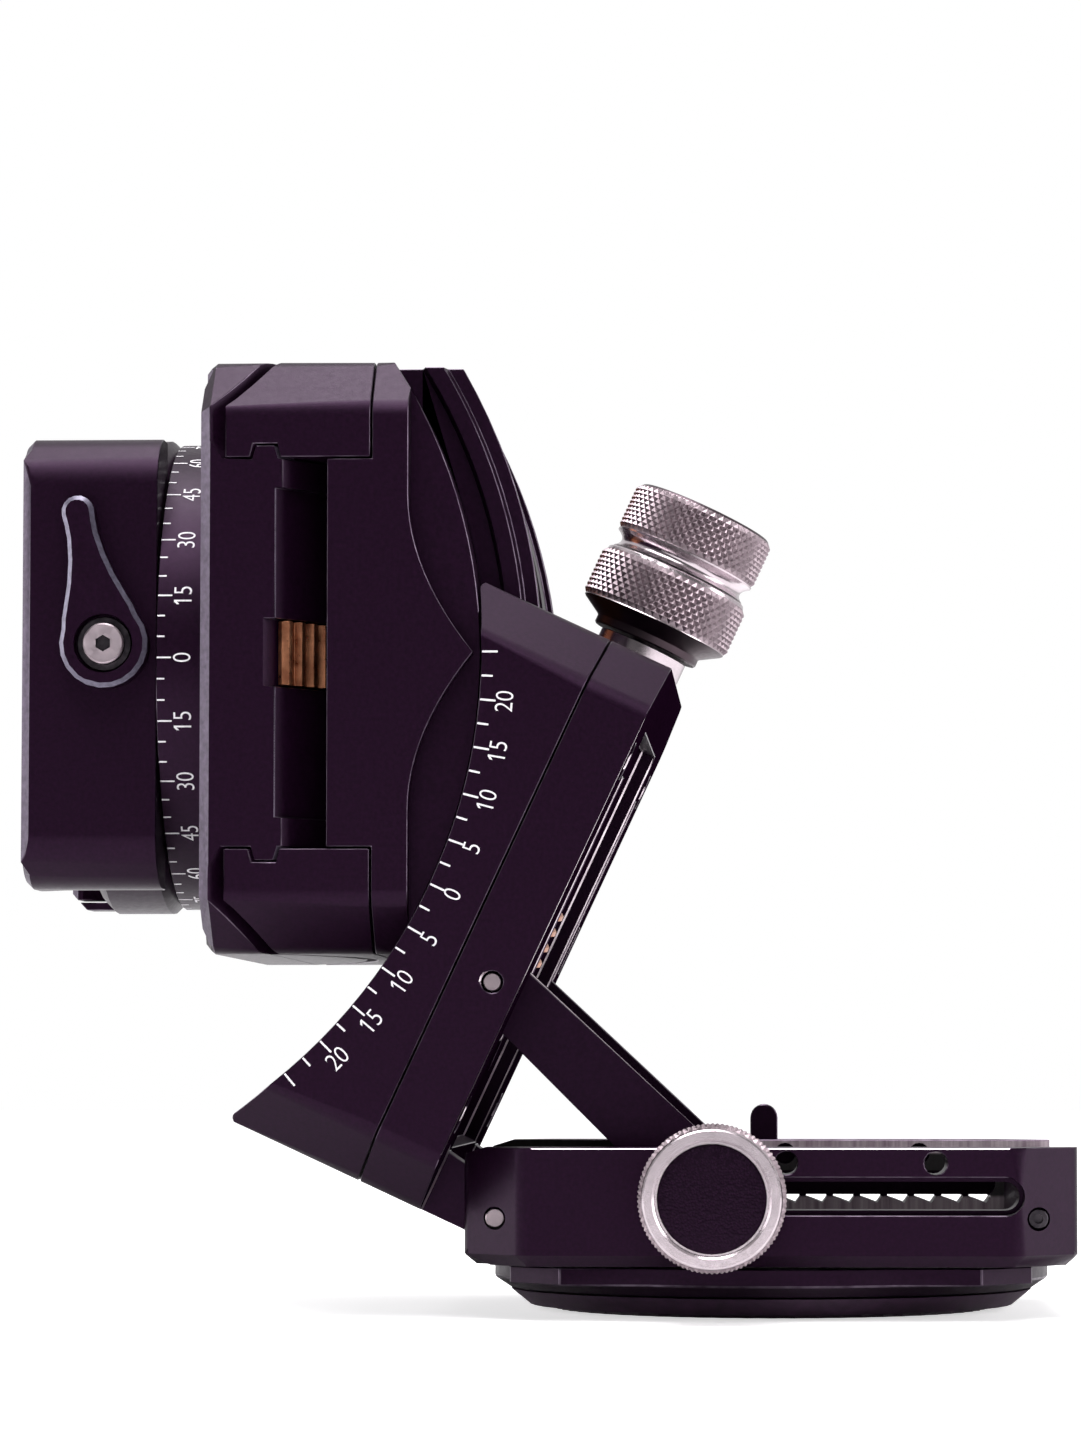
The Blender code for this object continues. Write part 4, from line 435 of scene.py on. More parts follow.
def roundCorners(piece, direction, radius, near=None):
    # rounds the long edges that run along one direction, where two faces meet at 45 degrees
    def wanted(edge, angle):
        run = edgeRun(edge)
        turnedRight = abs(math.degrees(angle) - cornerTest["turn"]) < cornerTest["slack"]
        if run.length < cornerTest["shortest"] * mm or not turnedRight:
            return False
        if abs(run.normalized().dot(direction)) < cornerTest["along"]:
            return False
        return near is None or near(edgeMiddle(edge))

    offset = radius * mm * math.tan(math.radians(cornerTest["turn"] / 2))
    bevelEdges(piece, wanted, offset=offset, segments=cornerTest["segments"])


def cutEdges(piece, width, sharp=35, shortest=0.45, only=None, slot=1):
    # a fine chamfer along the sharp edges, in the second finish unless told otherwise
    def wanted(edge, angle):
        if math.degrees(angle) < sharp or edge.calc_length() < shortest * mm:
            return False
        return only is None or only(edge)

    bevelEdges(piece, wanted, offset=width * mm, segments=1, material=slot)


def dressNode(node, finish, edge, width, corner=None, radius=0):
    piece = copyNode(node)
    giveFinishes(piece, finish, edge)
    if corner is not None:
        roundCorners(piece, corner, radius)
    if width:
        cutEdges(piece, width)
    finishPiece(piece, node)


def startRing(name, steps, radius, height):
    bpy.ops.object.select_all(action="DESELECT")
    bpy.ops.mesh.primitive_circle_add(
        vertices=steps, radius=radius * mm, location=(0, 0, 0), fill_type="NOTHING"
    )
    piece = bpy.context.object
    piece.name = name
    bpy.ops.object.mode_set(mode="EDIT")
    bpy.ops.mesh.select_all(action="SELECT")
    bpy.ops.transform.translate(value=(0, 0, height * mm))
    return piece


def addRing(radius, height, lastRadius, lastHeight):
    bpy.ops.mesh.extrude_edges_move(
        TRANSFORM_OT_translate={"value": (0, 0, (height - lastHeight) * mm)}
    )
    if abs(radius - lastRadius) > sameRadius:
        ratio = radius / lastRadius
        bpy.ops.transform.resize(
            value=(ratio, ratio, 1), center_override=(0, 0, height * mm)
        )


def turnPiece(name, profile, steps, closed=False):
    # rings drawn up one after the other; closed joins the last ring to the first
    piece = startRing(name, steps, *profile[0])
    if not closed:
        bpy.ops.mesh.edge_face_add()
    for last, ring in zip(profile, profile[1:]):
        addRing(*ring, *last)
    if closed:
        addRing(*profile[0], *profile[-1])
        bpy.ops.mesh.select_all(action="SELECT")
        bpy.ops.mesh.remove_doubles(threshold=weld["rings"])
    else:
        bpy.ops.mesh.edge_face_add()
    bpy.ops.mesh.select_all(action="SELECT")
    bpy.ops.mesh.normals_make_consistent(inside=False)
    bpy.ops.object.mode_set(mode="OBJECT")
    return piece


def standAt(piece, place, axis):
    piece.rotation_mode = "QUATERNION"
    piece.rotation_quaternion = upright.rotation_difference(axis)
    piece.location = place
    fixPlace(piece)
    piece.rotation_mode = "XYZ"


# Camera and light

camera = {
    "place": (0.00086, -0.64542, 0.03331),
    "yaw": 0.03889,
    "pitch": 0.05753,
    "lens": 114.496,
    "sensor": 36,
    "shift": (-0.03985, 0.05903),
    "clip": (0.01, 20),
}
cameraData = bpy.data.cameras.new("photoCamera")
cameraData.sensor_fit = "VERTICAL"
cameraData.sensor_height = camera["sensor"]
cameraData.lens = camera["lens"]
cameraData.shift_x, cameraData.shift_y = camera["shift"]
cameraData.clip_start, cameraData.clip_end = camera["clip"]
photoCamera = bpy.data.objects.new("photoCamera", cameraData)
photoCamera.location = camera["place"]
photoCamera.rotation_euler = (math.pi / 2 + camera["pitch"], 0, camera["yaw"])
bpy.context.scene.collection.objects.link(photoCamera)
bpy.context.scene.camera = photoCamera
bpy.context.scene.view_settings.view_transform = "Standard"

studio = {
    "frontLevel": 0.14,
    "backLevel": 0.8,
    "frontEnd": -0.75,
    "backStart": 0.25,
    "whiteLevel": 1.0,
    "floorSize": 6.0,
    "floorDrop": 0.0001,
    "floorGlow": 0.6,
    "glowColour": (1, 0.995, 1, 1),
    "lamps": (
        # name, place, aims at, width, height, power
        ("topPanel", (-0.1, -0.12, 0.95), (-0.05, 0, 0.07), 0.5, 0.9, 12.0),
        ("rightPanel", (0.9, -0.12, 0.3), (0, 0, 0.05), 0.35, 0.7, 4.0),
        ("leftPanel", (-0.95, 0.02, 0.2), (-0.08, 0, 0.09), 0.5, 0.6, 3.6),
        ("frontPanel", (0.1, -0.95, 1.2), (-0.03, 0, 0.06), 0.7, 0.5, 7.0),
    ),
}
floorLook = {
    "colour": (0.86, 0.85, 0.86), "metallic": 0.0, "roughness": 0.8, "specular": 0.1,
}


def makeWorld():
    # a white room seen by the camera and through gaps, whose light comes mostly from behind
    world = bpy.data.worlds.new("studioWorld")
    bpy.context.scene.world = world
    world.use_nodes = True
    tree = world.node_tree
    room = tree.nodes["Background"]
    room.inputs["Color"].default_value = (1, 1, 1, 1)
    direction = tree.nodes.new("ShaderNodeTexCoord")
    split = tree.nodes.new("ShaderNodeSeparateXYZ")
    tree.links.new(direction.outputs["Generated"], split.inputs[0])
    level = addRange(
        tree, split.outputs["Y"], studio["frontEnd"], studio["backStart"],
        studio["frontLevel"], studio["backLevel"],
    )
    level.interpolation_type = "SMOOTHSTEP"
    tree.links.new(level.outputs["Result"], room.inputs["Strength"])
    white = tree.nodes.new("ShaderNodeBackground")
    white.inputs["Color"].default_value = (1, 1, 1, 1)
    white.inputs["Strength"].default_value = studio["whiteLevel"]
    path = tree.nodes.new("ShaderNodeLightPath")
    seen = tree.nodes.new("ShaderNodeMath")
    seen.operation = "MAXIMUM"
    tree.links.new(path.outputs["Is Camera Ray"], seen.inputs[0])
    tree.links.new(path.outputs["Is Transmission Ray"], seen.inputs[1])
    mix = tree.nodes.new("ShaderNodeMixShader")
    tree.links.new(seen.outputs[0], mix.inputs[0])
    tree.links.new(room.outputs[0], mix.inputs[1])
    tree.links.new(white.outputs[0], mix.inputs[2])
    tree.links.new(mix.outputs[0], tree.nodes["World Output"].inputs["Surface"])


def makeFloor():
    # a pale floor that glows a little to the camera, so that it stays white but for its shadow
    bpy.ops.object.select_all(action="DESELECT")
    bpy.ops.mesh.primitive_plane_add(
        size=studio["floorSize"], location=(0, 0, -studio["floorDrop"])
    )
    floor = bpy.context.object
    floor.name = "studioFloor"
    finish, tree, shader = startFinish("paleFloor", floorLook)[:3]
    glow = tree.nodes.new("ShaderNodeEmission")
    glow.inputs["Color"].default_value = studio["glowColour"]
    path = tree.nodes.new("ShaderNodeLightPath")
    level = tree.nodes.new("ShaderNodeMath")
    level.operation = "MULTIPLY"
    level.inputs[1].default_value = studio["floorGlow"]
    tree.links.new(path.outputs["Is Camera Ray"], level.inputs[0])
    tree.links.new(level.outputs[0], glow.inputs["Strength"])
    both = tree.nodes.new("ShaderNodeAddShader")
    tree.links.new(shader.outputs[0], both.inputs[0])
    tree.links.new(glow.outputs[0], both.inputs[1])
    tree.links.new(both.outputs[0], tree.nodes["Material Output"].inputs["Surface"])
    floor.data.materials.append(finish)


def hangLamps():
    for name, place, aim, width, height, power in studio["lamps"]:
        lamp = bpy.data.lights.new(name, "AREA")
        lamp.shape = "RECTANGLE"
        lamp.size, lamp.size_y = width, height
        lamp.energy = power
        holder = bpy.data.objects.new(name, lamp)
        holder.location = place
        aimLine = Vector(aim) - Vector(place)
        holder.rotation_euler = aimLine.to_track_quat("-Z", "Y").to_euler()
        bpy.context.scene.collection.objects.link(holder)


makeWorld()
makeFloor()
hangLamps()
print("camera and light set")


# Black pieces with fine cut edges

baseRail = {
    "inner": 31.0,  # the milled walls, from the middle
    "outer": 40.0,
    "top": 22.9,
    "frontEnd": 36.0,  # further out the corners belong to the ends
    "corner": 3.4,
    "endCorner": 2.0,
    "paintedHighlightWidth": 0.2,
    "width": 0.12,
}


def dressBase():
    # a painted highlight along the near rail's top, fine edges elsewhere outside, and on the
    # milled inner walls their pale finish with a band of painted shade
    piece = copyNode("base_frame")
    giveFinishes(piece, blackAnodised, cutEdge, paintedHighlightEdge, milledWallAndShade)
    for face in piece.data.polygons:
        if abs(abs(face.center.y) - baseRail["inner"] * mm) < onPlane:
            face.material_index = 3

    def atFront(spot):
        return abs(spot.x) < baseRail["frontEnd"] * mm

    def atEnds(spot):
        return abs(spot.x) > baseRail["frontEnd"] * mm

    def onTop(edge):
        return all(vert.co.z > baseRail["top"] * mm - onPlane for vert in edge.verts)

    def onFront(edge):
        return all(vert.co.y < onPlane - baseRail["outer"] * mm for vert in edge.verts)

    roundCorners(piece, upright, baseRail["corner"], near=atFront)
    roundCorners(piece, upright, baseRail["endCorner"], near=atEnds)
    # painted highlight along the near rail's top front edge
    cutEdges(piece, baseRail["paintedHighlightWidth"], sharp=stepAngle, slot=2,
             only=lambda edge: onTop(edge) and onFront(edge))
    cutEdges(piece, baseRail["width"], sharp=stepAngle,
             only=lambda edge: onTop(edge) or onFront(edge))
    finishPiece(piece, "base_frame")


# how squarely a face has to look one way, and the widths of the painted highlight edges and of
# the other edges
brightSide = {"facing": 0.8, "near": 0.95, "paintedHighlightWidth": 0.25, "width": 0.1}


def dressBright(node, facing, corner=None, radius=0):
    # a painted highlight edge where the near face meets the side that faces one way, and painted
    # shade on that side
    def looks(face, way, least):
        return face.normal.dot(way) > least

    def onNearSide(edge):
        near = any(looks(face, -sideways, brightSide["near"]) for face in edge.link_faces)
        return near and any(looks(face, facing, brightSide["facing"]) for face in edge.link_faces)

    piece = copyNode(node)
    giveFinishes(piece, blackAnodised, cutEdge, paintedHighlightEdge, paintedShadeBlack)
    if corner is not None:
        roundCorners(piece, corner, radius)
    # painted shade on the side that faces one way
    for face in piece.data.polygons:
        if looks(face, facing, brightSide["facing"]):
            face.material_index = 3
    # painted highlight along the near edge of that side
    cutEdges(piece, brightSide["paintedHighlightWidth"], sharp=stepAngle, only=onNearSide, slot=2)
    cutEdges(piece, brightSide["width"], sharp=stepAngle)
    finishPiece(piece, node)


# the broad band round the left face, in a painted sheen, which keeps clear of the arc's centre
# line
upperPlate = {"band": 0.8, "keep": 36, "corner": 3.4, "width": 0.1,
              "windowLeft": -65.95, "windowEdge": 1.2, "wormHalf": 7}
clampBody = {"band": 0.9, "keep": 26, "corner": 6.0, "width": 0.1}
movingJaw = {"band": 0.9, "keep": 24, "corner": 6.0, "width": 0.1}
leftFace = {"slant": 0.5, "wall": 0.6, "shortest": 0.2}


def dressLeft(node, sizes):
    # a broad chamfer round the left face and the chamfers that face left and to the front, all in
    # a painted sheen, fine ones elsewhere, and a painted highlight on the window's edge
    def onWindow(face):
        reach = face.center.x / mm - sizes["windowLeft"]
        besideWorm = abs(face.center.z - arcCentre.z) < sizes["wormHalf"] * mm
        onWall = 0 < reach < sizes["windowEdge"] and face.normal.x > leftFace["wall"]
        return onWall and face.center.y < 0 and not besideWorm

    piece = copyNode(node)
    giveFinishes(piece, blackAnodised, cutEdge, paintedSheenChamfer)
    # painted sheen on the chamfers that face left and to the front, painted highlight on the
    # window's edge
    for face in piece.data.polygons:
        chamfered = face.normal.x < -leftFace["slant"] and face.normal.y < -leftFace["slant"]
        if chamfered or ("windowLeft" in sizes and onWindow(face)):
            face.material_index = 2
    roundCorners(piece, left, sizes["corner"])
    end = min(vert.co.x for vert in piece.data.vertices)

    def onOutline(edge):
        for vert in edge.verts:
            reach = math.hypot(vert.co.y, vert.co.z - arcCentre.z)
            if abs(vert.co.x - end) > onPlane or reach < sizes["keep"] * mm:
                return False
        return True

    cutEdges(piece, sizes["band"], sharp=stepAngle, shortest=leftFace["shortest"],
             only=onOutline, slot=2)
    cutEdges(piece, sizes["width"], sharp=stepAngle)
    finishPiece(piece, node)


stageCorner = 3.4
linkTop = Vector((0.66, 0, 0.75))  # the way that the link's upper side faces

dressNode("base_disc", blackAnodised, cutEdge, width=0.2)
dressNode("tripod_pad", padRubber, padRubber, width=0)
dressBase()
dressNode("locating_tab", blackAnodised, cutEdge, width=0.15)
# painted shade on the link's upper side and on the frame block's side that faces against frameUp,
# with a painted highlight along their near edges
dressBright("link_arm_near", linkTop)
dressNode("link_arm_far", blackAnodised, cutEdge, width=0.12)
dressNode("link_spacer", blackAnodised, cutEdge, width=0.15)
dressBright("frame_block", -frameUp, frameUp, stageCorner)
for node in ("front_cradle", "rear_cradle"):
    dressNode(node, blackAnodised, cutEdge, width=0.1, corner=frameUp, radius=stageCorner)
for node in ("middle_block", "upper_cradle_right", "upper_cradle_left"):
    dressNode(node, blackAnodised, cutEdge, width=0.1, corner=left, radius=stageCorner)
dressLeft("upper_plate", upperPlate)
dressLeft("clamp_body", clampBody)
dressLeft("moving_jaw", movingJaw)
for node in ("pan_ring", "pan_spindle", "stop_plate"):
    dressNode(node, blackAnodised, cutEdge, width=0.12)
print("black pieces dressed")


# Knurled knobs

# how far off still counts as on the knurl, in millimetres, and for the row as its share
knurlSlack = {"shaping": 0.05, "finishing": 0.1, "row": 0.02, "band": 0.02}
knurlAngle = 22  # degrees: edges between facets that turn less are shaded smooth


def isOutside(spot, knob, slack):
    return math.hypot(spot.x, spot.y) / mm > knob["root"] - knob["taper"] - slack


def raiseKnurl(piece, knob):
    # every second point of the knurled rows is drawn outwards, which leaves crossing grooves
    low, high = knob["knurl"]
    rows = knob["rows"]
    pick(piece)
    bpy.ops.object.mode_set(mode="EDIT")
    bpy.ops.mesh.select_mode(type="VERT")
    bm = bmesh.from_edit_mesh(piece.data)
    crests = []
    for vert in bm.verts:
        row = (vert.co.z / mm - low) / (high - low) * rows
        column = math.atan2(vert.co.x, vert.co.y) / (2 * math.pi) * knob["steps"]
        outside = isOutside(vert.co, knob, knurlSlack["shaping"])
        onRow = abs(row - round(row)) < knurlSlack["row"] and 0.5 < row < rows - 0.5
        vert.select_set(outside and onRow and (round(column) + round(row)) % 2 == 1)
        if vert.select:
            crests.append(vert.index)
    bmesh.update_edit_mesh(piece.data)
    ratio = knob["crest"] / knob["root"]
    bpy.ops.transform.resize(value=(ratio, ratio, 1), center_override=(0, 0, 0))
    bpy.ops.mesh.select_mode(type="FACE")
    bm = bmesh.from_edit_mesh(piece.data)
    for face in bm.faces:
        middle = face.calc_center_median()
        outside = isOutside(middle, knob, knurlSlack["shaping"])
        face.select_set(outside and low < middle.z / mm < high and len(face.verts) == 4)
    bmesh.update_edit_mesh(piece.data)
    bpy.ops.mesh.quads_convert_to_tris(quad_method="SHORTEST_DIAGONAL")
    bpy.ops.mesh.select_mode(type="VERT")
    bm = bmesh.from_edit_mesh(piece.data)
    bm.verts.ensure_lookup_table()
    for vert in bm.verts:
        vert.select_set(False)
    for index in crests:
        bm.verts[index].select_set(True)
    bmesh.update_edit_mesh(piece.data)
    bpy.ops.mesh.bevel(affect="VERTICES", offset=knob["flat"] * mm, segments=1)
    bpy.ops.object.mode_set(mode="OBJECT")


def knurledPiece(name, knob):
    # the knurl tapers over its last two rows
    low, high = knob["knurl"]
    rows = knob["rows"]
    band = []
    for i in range(rows + 1):
        last = max(0, i - rows + 2) / 2
        band.append((knob["root"] - knob["taper"] * last ** 2, low + (high - low) * i / rows))
    profile = [*knob["below"], *band, *knob["above"]]
    piece = turnPiece(name, profile, knob["steps"], knob["closed"])
    raiseKnurl(piece, knob)
    giveFinishes(piece, knurledSteel, polishedSteel, paintedShadeSteel)
    # the knurl, the polished faces, and painted shade on the faces outside the unshaded range
    for face in piece.data.polygons:
        height = face.center.z / mm
        outside = isOutside(face.center, knob, knurlSlack["finishing"])
        knurled = outside and low - knurlSlack["band"] < height < high + knurlSlack["band"]
        unshaded = knob["unshaded"][0] < height < knob["unshaded"][1]
        face.material_index = 0 if knurled else 1 if unshaded else 2
    smoothByAngle(piece, knurlAngle)
    return piece


neck = {"low": 54.7, "high": 57.0, "radius": 10.3, "depth": 1.0, "flare": 0.35,
        "fullness": 0.8, "steps": 10}


def neckRings():
    # the hollow neck of a drive knob, shallower at its foot
    for i in range(neck["steps"] + 1):
        share = i / neck["steps"]
        bite = neck["depth"] * math.sin(share * math.pi) ** neck["fullness"]
        radius = neck["radius"] - neck["flare"] * (1 - share) ** 2 - bite
        yield radius, neck["low"] + (neck["high"] - neck["low"]) * share


# root and crest are the knurl's radii, and below and above give the rest of the profile as
# radius and height, where unshaded is the range of heights that is polished; outside it the faces
# get painted shade
driveKnob = {
    "steps": 102,
    "root": 10.08,
    "crest": 10.55,
    "taper": 0.12,
    "flat": 0.1,
    "knurl": (57.35, 63.85),
    "unshaded": (54, 63.9),
    "rows": 10,
    "closed": False,
    "below": ((2.2, 60.7), (2.2, 54.7), *neckRings(), (10.3, 57.25)),
    "above": ((9.75, 64.1), (9.6, 64.2), (8.9, 64.2), (8.75, 64.08), (1.2, 64.08)),
}
releaseRing = {
    "steps": 108,
    "root": 10.68,
    "crest": 11.15,
    "taper": 0.12,
    "flat": 0.1,
    "knurl": (46.9, 53.85),
    "unshaded": (46.65, 55),
    "rows": 10,
    "closed": True,
    "below": (
        (2.2, 54.4), (2.2, 43.6), (7.6, 43.6), (7.8, 43.8), (7.8, 44.75), (7.95, 44.95),
        (10.5, 46.5), (10.75, 46.75),
    ),
    "above": ((10.45, 54.25), (10.3, 54.4)),
}
lockKnob = {
    "steps": 94,
    "root": 9.3,
    "crest": 9.75,
    "taper": 0.2,
    "flat": 0.1,
    "knurl": (2.3, 12.7),
    "unshaded": (0, 14),
    "rows": 16,
    "closed": False,
    "below": ((1.9, 7.0), (1.9, 0.3), (8.2, 0.3), (8.35, 0.45), (9.1, 1.95)),
    "above": (
        (9.12, 13.25), (9.02, 13.45), (8.8, 13.6), (7.75, 13.6), (7.45, 13.3), (7.4, 12.2),
    ),
}
panLockKnob = {
    "steps": 56,
    "root": 4.3,
    "crest": 4.6,
    "taper": 0.1,
    "flat": 0.1,
    "knurl": (41.6, 46.2),
    "unshaded": (40, 48),
    "rows": 9,
    "closed": False,
    "below": ((1.8, 43.6), (1.8, 40.6), (3.7, 40.6), (3.85, 40.75)),
    "above": ((3.9, 47.0), (3.7, 47.2), (1.0, 47.2)),
}

frontWormPlace = Vector((-36.086, 0, 53.644)) * mm
sideWormPlace = onStage(0, 0, 67.0)
panLockPlace = onStage(0, 0, 31.8)
lockPlace = Vector((-7.5, -40, 16.5)) * mm

for node, knob, place, axis in (
    ("front_drive_knob", driveKnob, frontWormPlace, frameAlong),
    ("front_release_ring", releaseRing, frontWormPlace, frameAlong),
    ("side_drive_knob", driveKnob, sideWormPlace, sideways),
    ("side_release_ring", releaseRing, sideWormPlace, sideways),
    ("pan_lock_knob", panLockKnob, panLockPlace, sideways),
    ("lock_knob", lockKnob, lockPlace, -sideways),
):
    piece = knurledPiece(node + "Skin", knob)
    standAt(piece, place, axis)
    rideLike(piece, node)
print("knobs knurled")

# the domed disc of grained leather cloth in the lock knob
lockInset = {"foot": 6.95, "radius": 7.1, "low": 12.5, "bevel": 0.1, "rim": 12.75,
             "crown": 0.55, "inset": 0.02, "rings": 12, "steps": 72, "smooth": 40}


def makeLockInset(sizes):
    profile = [(sizes["foot"], sizes["low"]), (sizes["radius"], sizes["low"] + sizes["bevel"])]
    for i in range(sizes["rings"]):
        turn = i / sizes["rings"] * math.pi / 2
        lift = sizes["crown"] * math.sin(turn)
        profile.append((sizes["radius"] * math.cos(turn) - sizes["inset"], sizes["rim"] + lift))
    piece = turnPiece("lock_knob_insetSkin", profile, sizes["steps"])
    giveFinishes(piece, leatherGrain)
    smoothByAngle(piece, sizes["smooth"])
    standAt(piece, lockPlace, -sideways)
    rideLike(piece, "lock_knob_inset")


makeLockInset(lockInset)


# Turned steel and bronze pieces

foldPin = {"radius": 1.26, "low": -35.2, "high": 35.2, "chamfer": 0.12, "steps": 40}
linkPin = {"radius": 1.2, "low": 26.7, "high": 39.7, "chamfer": 0.12, "steps": 40}


def chamferedRod(node, pin, place, axis):
    # a satin pin with a small chamfer at both ends
    radius, low, high, chamfer = pin["radius"], pin["low"], pin["high"], pin["chamfer"]
    profile = [(radius - chamfer, low), (radius, low + chamfer)]
    profile += [(radius, high - chamfer), (radius - chamfer, high)]
    piece = turnPiece(node + "Skin", profile, pin["steps"])
    giveFinishes(piece, pinSteel)
    smoothByAngle(piece)
    standAt(piece, place, axis)
    rideLike(piece, node)


linkPinPlace = onFrame(31.7, 0, 3.63)
chamferedRod("fold_pin", foldPin, foldPoint, -sideways)
chamferedRod("link_pin_near", linkPin, linkPinPlace, -sideways)
chamferedRod("link_pin_far", linkPin, linkPinPlace, sideways)

steelNodes = (
    "tripod_bushing", "lock_shaft", "slide_bush", "front_worm_shaft", "side_worm_shaft",
    "pan_lock_screw", "guide_pin_right", "guide_pin_left", "cam_shaft",
    "front_worm_collar", "side_worm_collar",
)
screwNodes = (
    "end_screw_near", "end_screw_far",
    *(f"base_screw_{i}" for i in range(1, 5)), *(f"cradle_screw_{i}" for i in range(1, 5)),
)
for node in steelNodes:
    dressNode(node, polishedSteel, polishedSteel, width=0.12)
for node in ("lower_rack", "upper_rack"):
    dressNode(node, machinedBronze, machinedBronze, width=0.06)
for node in ("front_worm_bush", "front_worm", "side_worm"):
    dressNode(node, machinedBronze, machinedBronze, width=0)
for node in screwNodes:
    dressNode(node, blackSteel, blackSteel, width=0.08)
print("steel and bronze dressed")


# Clamp lever with its screw

lever = {
    "band": 0.6,
    "sharp": 60,
    "shortest": 0.001,
    "hubKeep": 4.3,
    "faceDepth": 0.05,
}
leverScrew = {
    "radius": 2.75,
    "front": 3.6,
    "back": 2.6,
    "backBevel": 0.1,
    "frontBevel": 0.2,
    "steps": 48,
    "socket": 1.12,
    "socketDepth": 0.8,
    "slack": 0.05,
}
leverPlace = onStage(1.9, -30, 21.5)
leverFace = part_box("clamp_lever")[0][1]


def onLeverRim(edge):
    # the outline of the lever's outer face, without the hole for its screw
    middle = edgeMiddle(edge)
    onFace = middle.y < leverFace + lever["faceDepth"] * mm
    fromScrew = math.hypot(middle.x - leverPlace.x, middle.z - leverPlace.z)
    return onFace and abs(edgeRun(edge).y) < onPlane and fromScrew > lever["hubKeep"] * mm


def dressLever():
    piece = copyNode("clamp_lever")
    giveFinishes(piece, blackAnodised, wideChamfer)
    cutEdges(piece, lever["band"], lever["sharp"], lever["shortest"], onLeverRim)
    finishPiece(piece, "clamp_lever")


def makeLeverScrew(sizes):
    # a turned head with a hex socket, whose walls and floor get painted shade
    radius, back, front = sizes["radius"], sizes["back"], sizes["front"]
    profile = [
        (radius - sizes["backBevel"], back),
        (radius, back + sizes["backBevel"]),
        (radius, front - sizes["frontBevel"]),
        (radius - sizes["frontBevel"], front),
    ]
    piece = turnPiece("lever_screwSkin", profile, sizes["steps"])
    bpy.ops.object.select_all(action="DESELECT")
    bpy.ops.mesh.primitive_cylinder_add(
        vertices=6, radius=sizes["socket"] * mm, depth=2 * sizes["socketDepth"] * mm,
        location=(0, 0, front * mm),
    )
    hexCutter = bpy.context.object
    pick(piece)
    socket = piece.modifiers.new("socket", "BOOLEAN")
    socket.operation = "DIFFERENCE"
    socket.solver = "EXACT"
    socket.object = hexCutter
    bpy.ops.object.modifier_apply(modifier=socket.name)
    bpy.data.objects.remove(hexCutter, do_unlink=True)
    giveFinishes(piece, satinSteel, blackSteel)
    low, high = (back + sizes["slack"]) * mm, (front - sizes["slack"]) * mm
    # painted shade on the socket's walls and floor
    for face in piece.data.polygons:
        inside = math.hypot(face.center.x, face.center.y) < sizes["socket"] * mm - onPlane
        if inside and low < face.center.z < high:
            face.material_index = 1
    smoothByAngle(piece)
    weighNormals(piece)
    standAt(piece, leverPlace, -sideways)
    rideLike(piece, "lever_screw")


dressLever()
makeLeverScrew(leverScrew)
dressNode("lever_washer", blackSteel, blackSteel, width=0.12)
print("lever done")


# Engraved scales

tiltScale = {
    "edge": 73.12,  # radius at which the ticks start
    "labels": 76.35,
    "face": -40.0,
    "ends": 25,  # degrees each way
    "step": 2.5,
    "long": 2.1,
    "short": 1.5,
    "width": 0.27,
    "height": 2.35,
    "slim": 0.86,
    "proud": 0.02,
    "depth": 0.08,
}
panScale = {
    "radius": 32.9,
    "start": 28.7,
    "labels": 32.1,
    "steps": 18,  # each way
    "step": 5,
    "longEach": 3,
    "long": 1.95,
    "short": 1.05,
    "width": 0.22,
    "height": 2.4,
    "slim": 0.84,
    "proud": 0.02,
    "depth": 0.08,
}
# the bar of a one in the font's own units, with the reach and drop of its slanted stroke
digitOne = {"right": 0.31, "split": 0.57, "reach": 0.13, "drop": 0.1, "weld": 0.0001,
            "slack": 0.01}
digits = {"thin": -0.01, "thick": 0.1, "curveSteps": 4, "weld": 0.0000002}
tickEnds = {"share": 0.3, "segments": 2, "standing": 0.9}  # rounded by a share of the width


def makeTick(length, scale):
    # lies along +X from the origin, its top at zero height
    depth = scale["depth"]
    bpy.ops.object.select_all(action="DESELECT")
    bpy.ops.mesh.primitive_cube_add(size=1, location=(length / 2 * mm, 0, -depth / 2 * mm))
    tick = bpy.context.object
    tick.scale = (length * mm, scale["width"] * mm, depth * mm)
    fixPlace(tick)

    def standing(edge, angle):
        return abs(edgeRun(edge).z) > tickEnds["standing"] * edgeRun(edge).length

    bpy.ops.object.mode_set(mode="EDIT")
    bpy.ops.mesh.select_mode(type="EDGE")
    selectEdges(tick, standing)
    rounding = scale["width"] * tickEnds["share"] * mm
    bpy.ops.mesh.bevel(offset=rounding, segments=tickEnds["segments"], affect="EDGES")
    bpy.ops.object.mode_set(mode="OBJECT")
    return tick


def addFlag(number):
    # draws the slanted stroke of a leading one out of its upright bar
    pick(number)
    bpy.ops.object.mode_set(mode="EDIT")
    bpy.ops.mesh.select_mode(type="FACE")
    bpy.ops.mesh.select_all(action="SELECT")
    bpy.ops.mesh.remove_doubles(threshold=digitOne["weld"])
    bm = bmesh.from_edit_mesh(number.data)
    for face in bm.faces:
        face.select_set(face.calc_center_median().x < digitOne["right"])
    leftmost = min(vert.co.x for vert in bm.verts)
    bmesh.update_edit_mesh(number.data)
    bpy.ops.mesh.bisect(plane_co=(0, digitOne["split"], 0), plane_no=(0, 1, 0))
    bm = bmesh.from_edit_mesh(number.data)
    for face in bm.faces:
        middle = face.calc_center_median()
        onLeft = abs(middle.x - leftmost) < digitOne["slack"]
        face.select_set(onLeft and middle.y > digitOne["split"])
    bmesh.update_edit_mesh(number.data)
    bpy.ops.mesh.extrude_region_move(
        TRANSFORM_OT_translate={"value": (-digitOne["reach"], -digitOne["drop"], 0)}
    )
    bpy.ops.object.mode_set(mode="OBJECT")


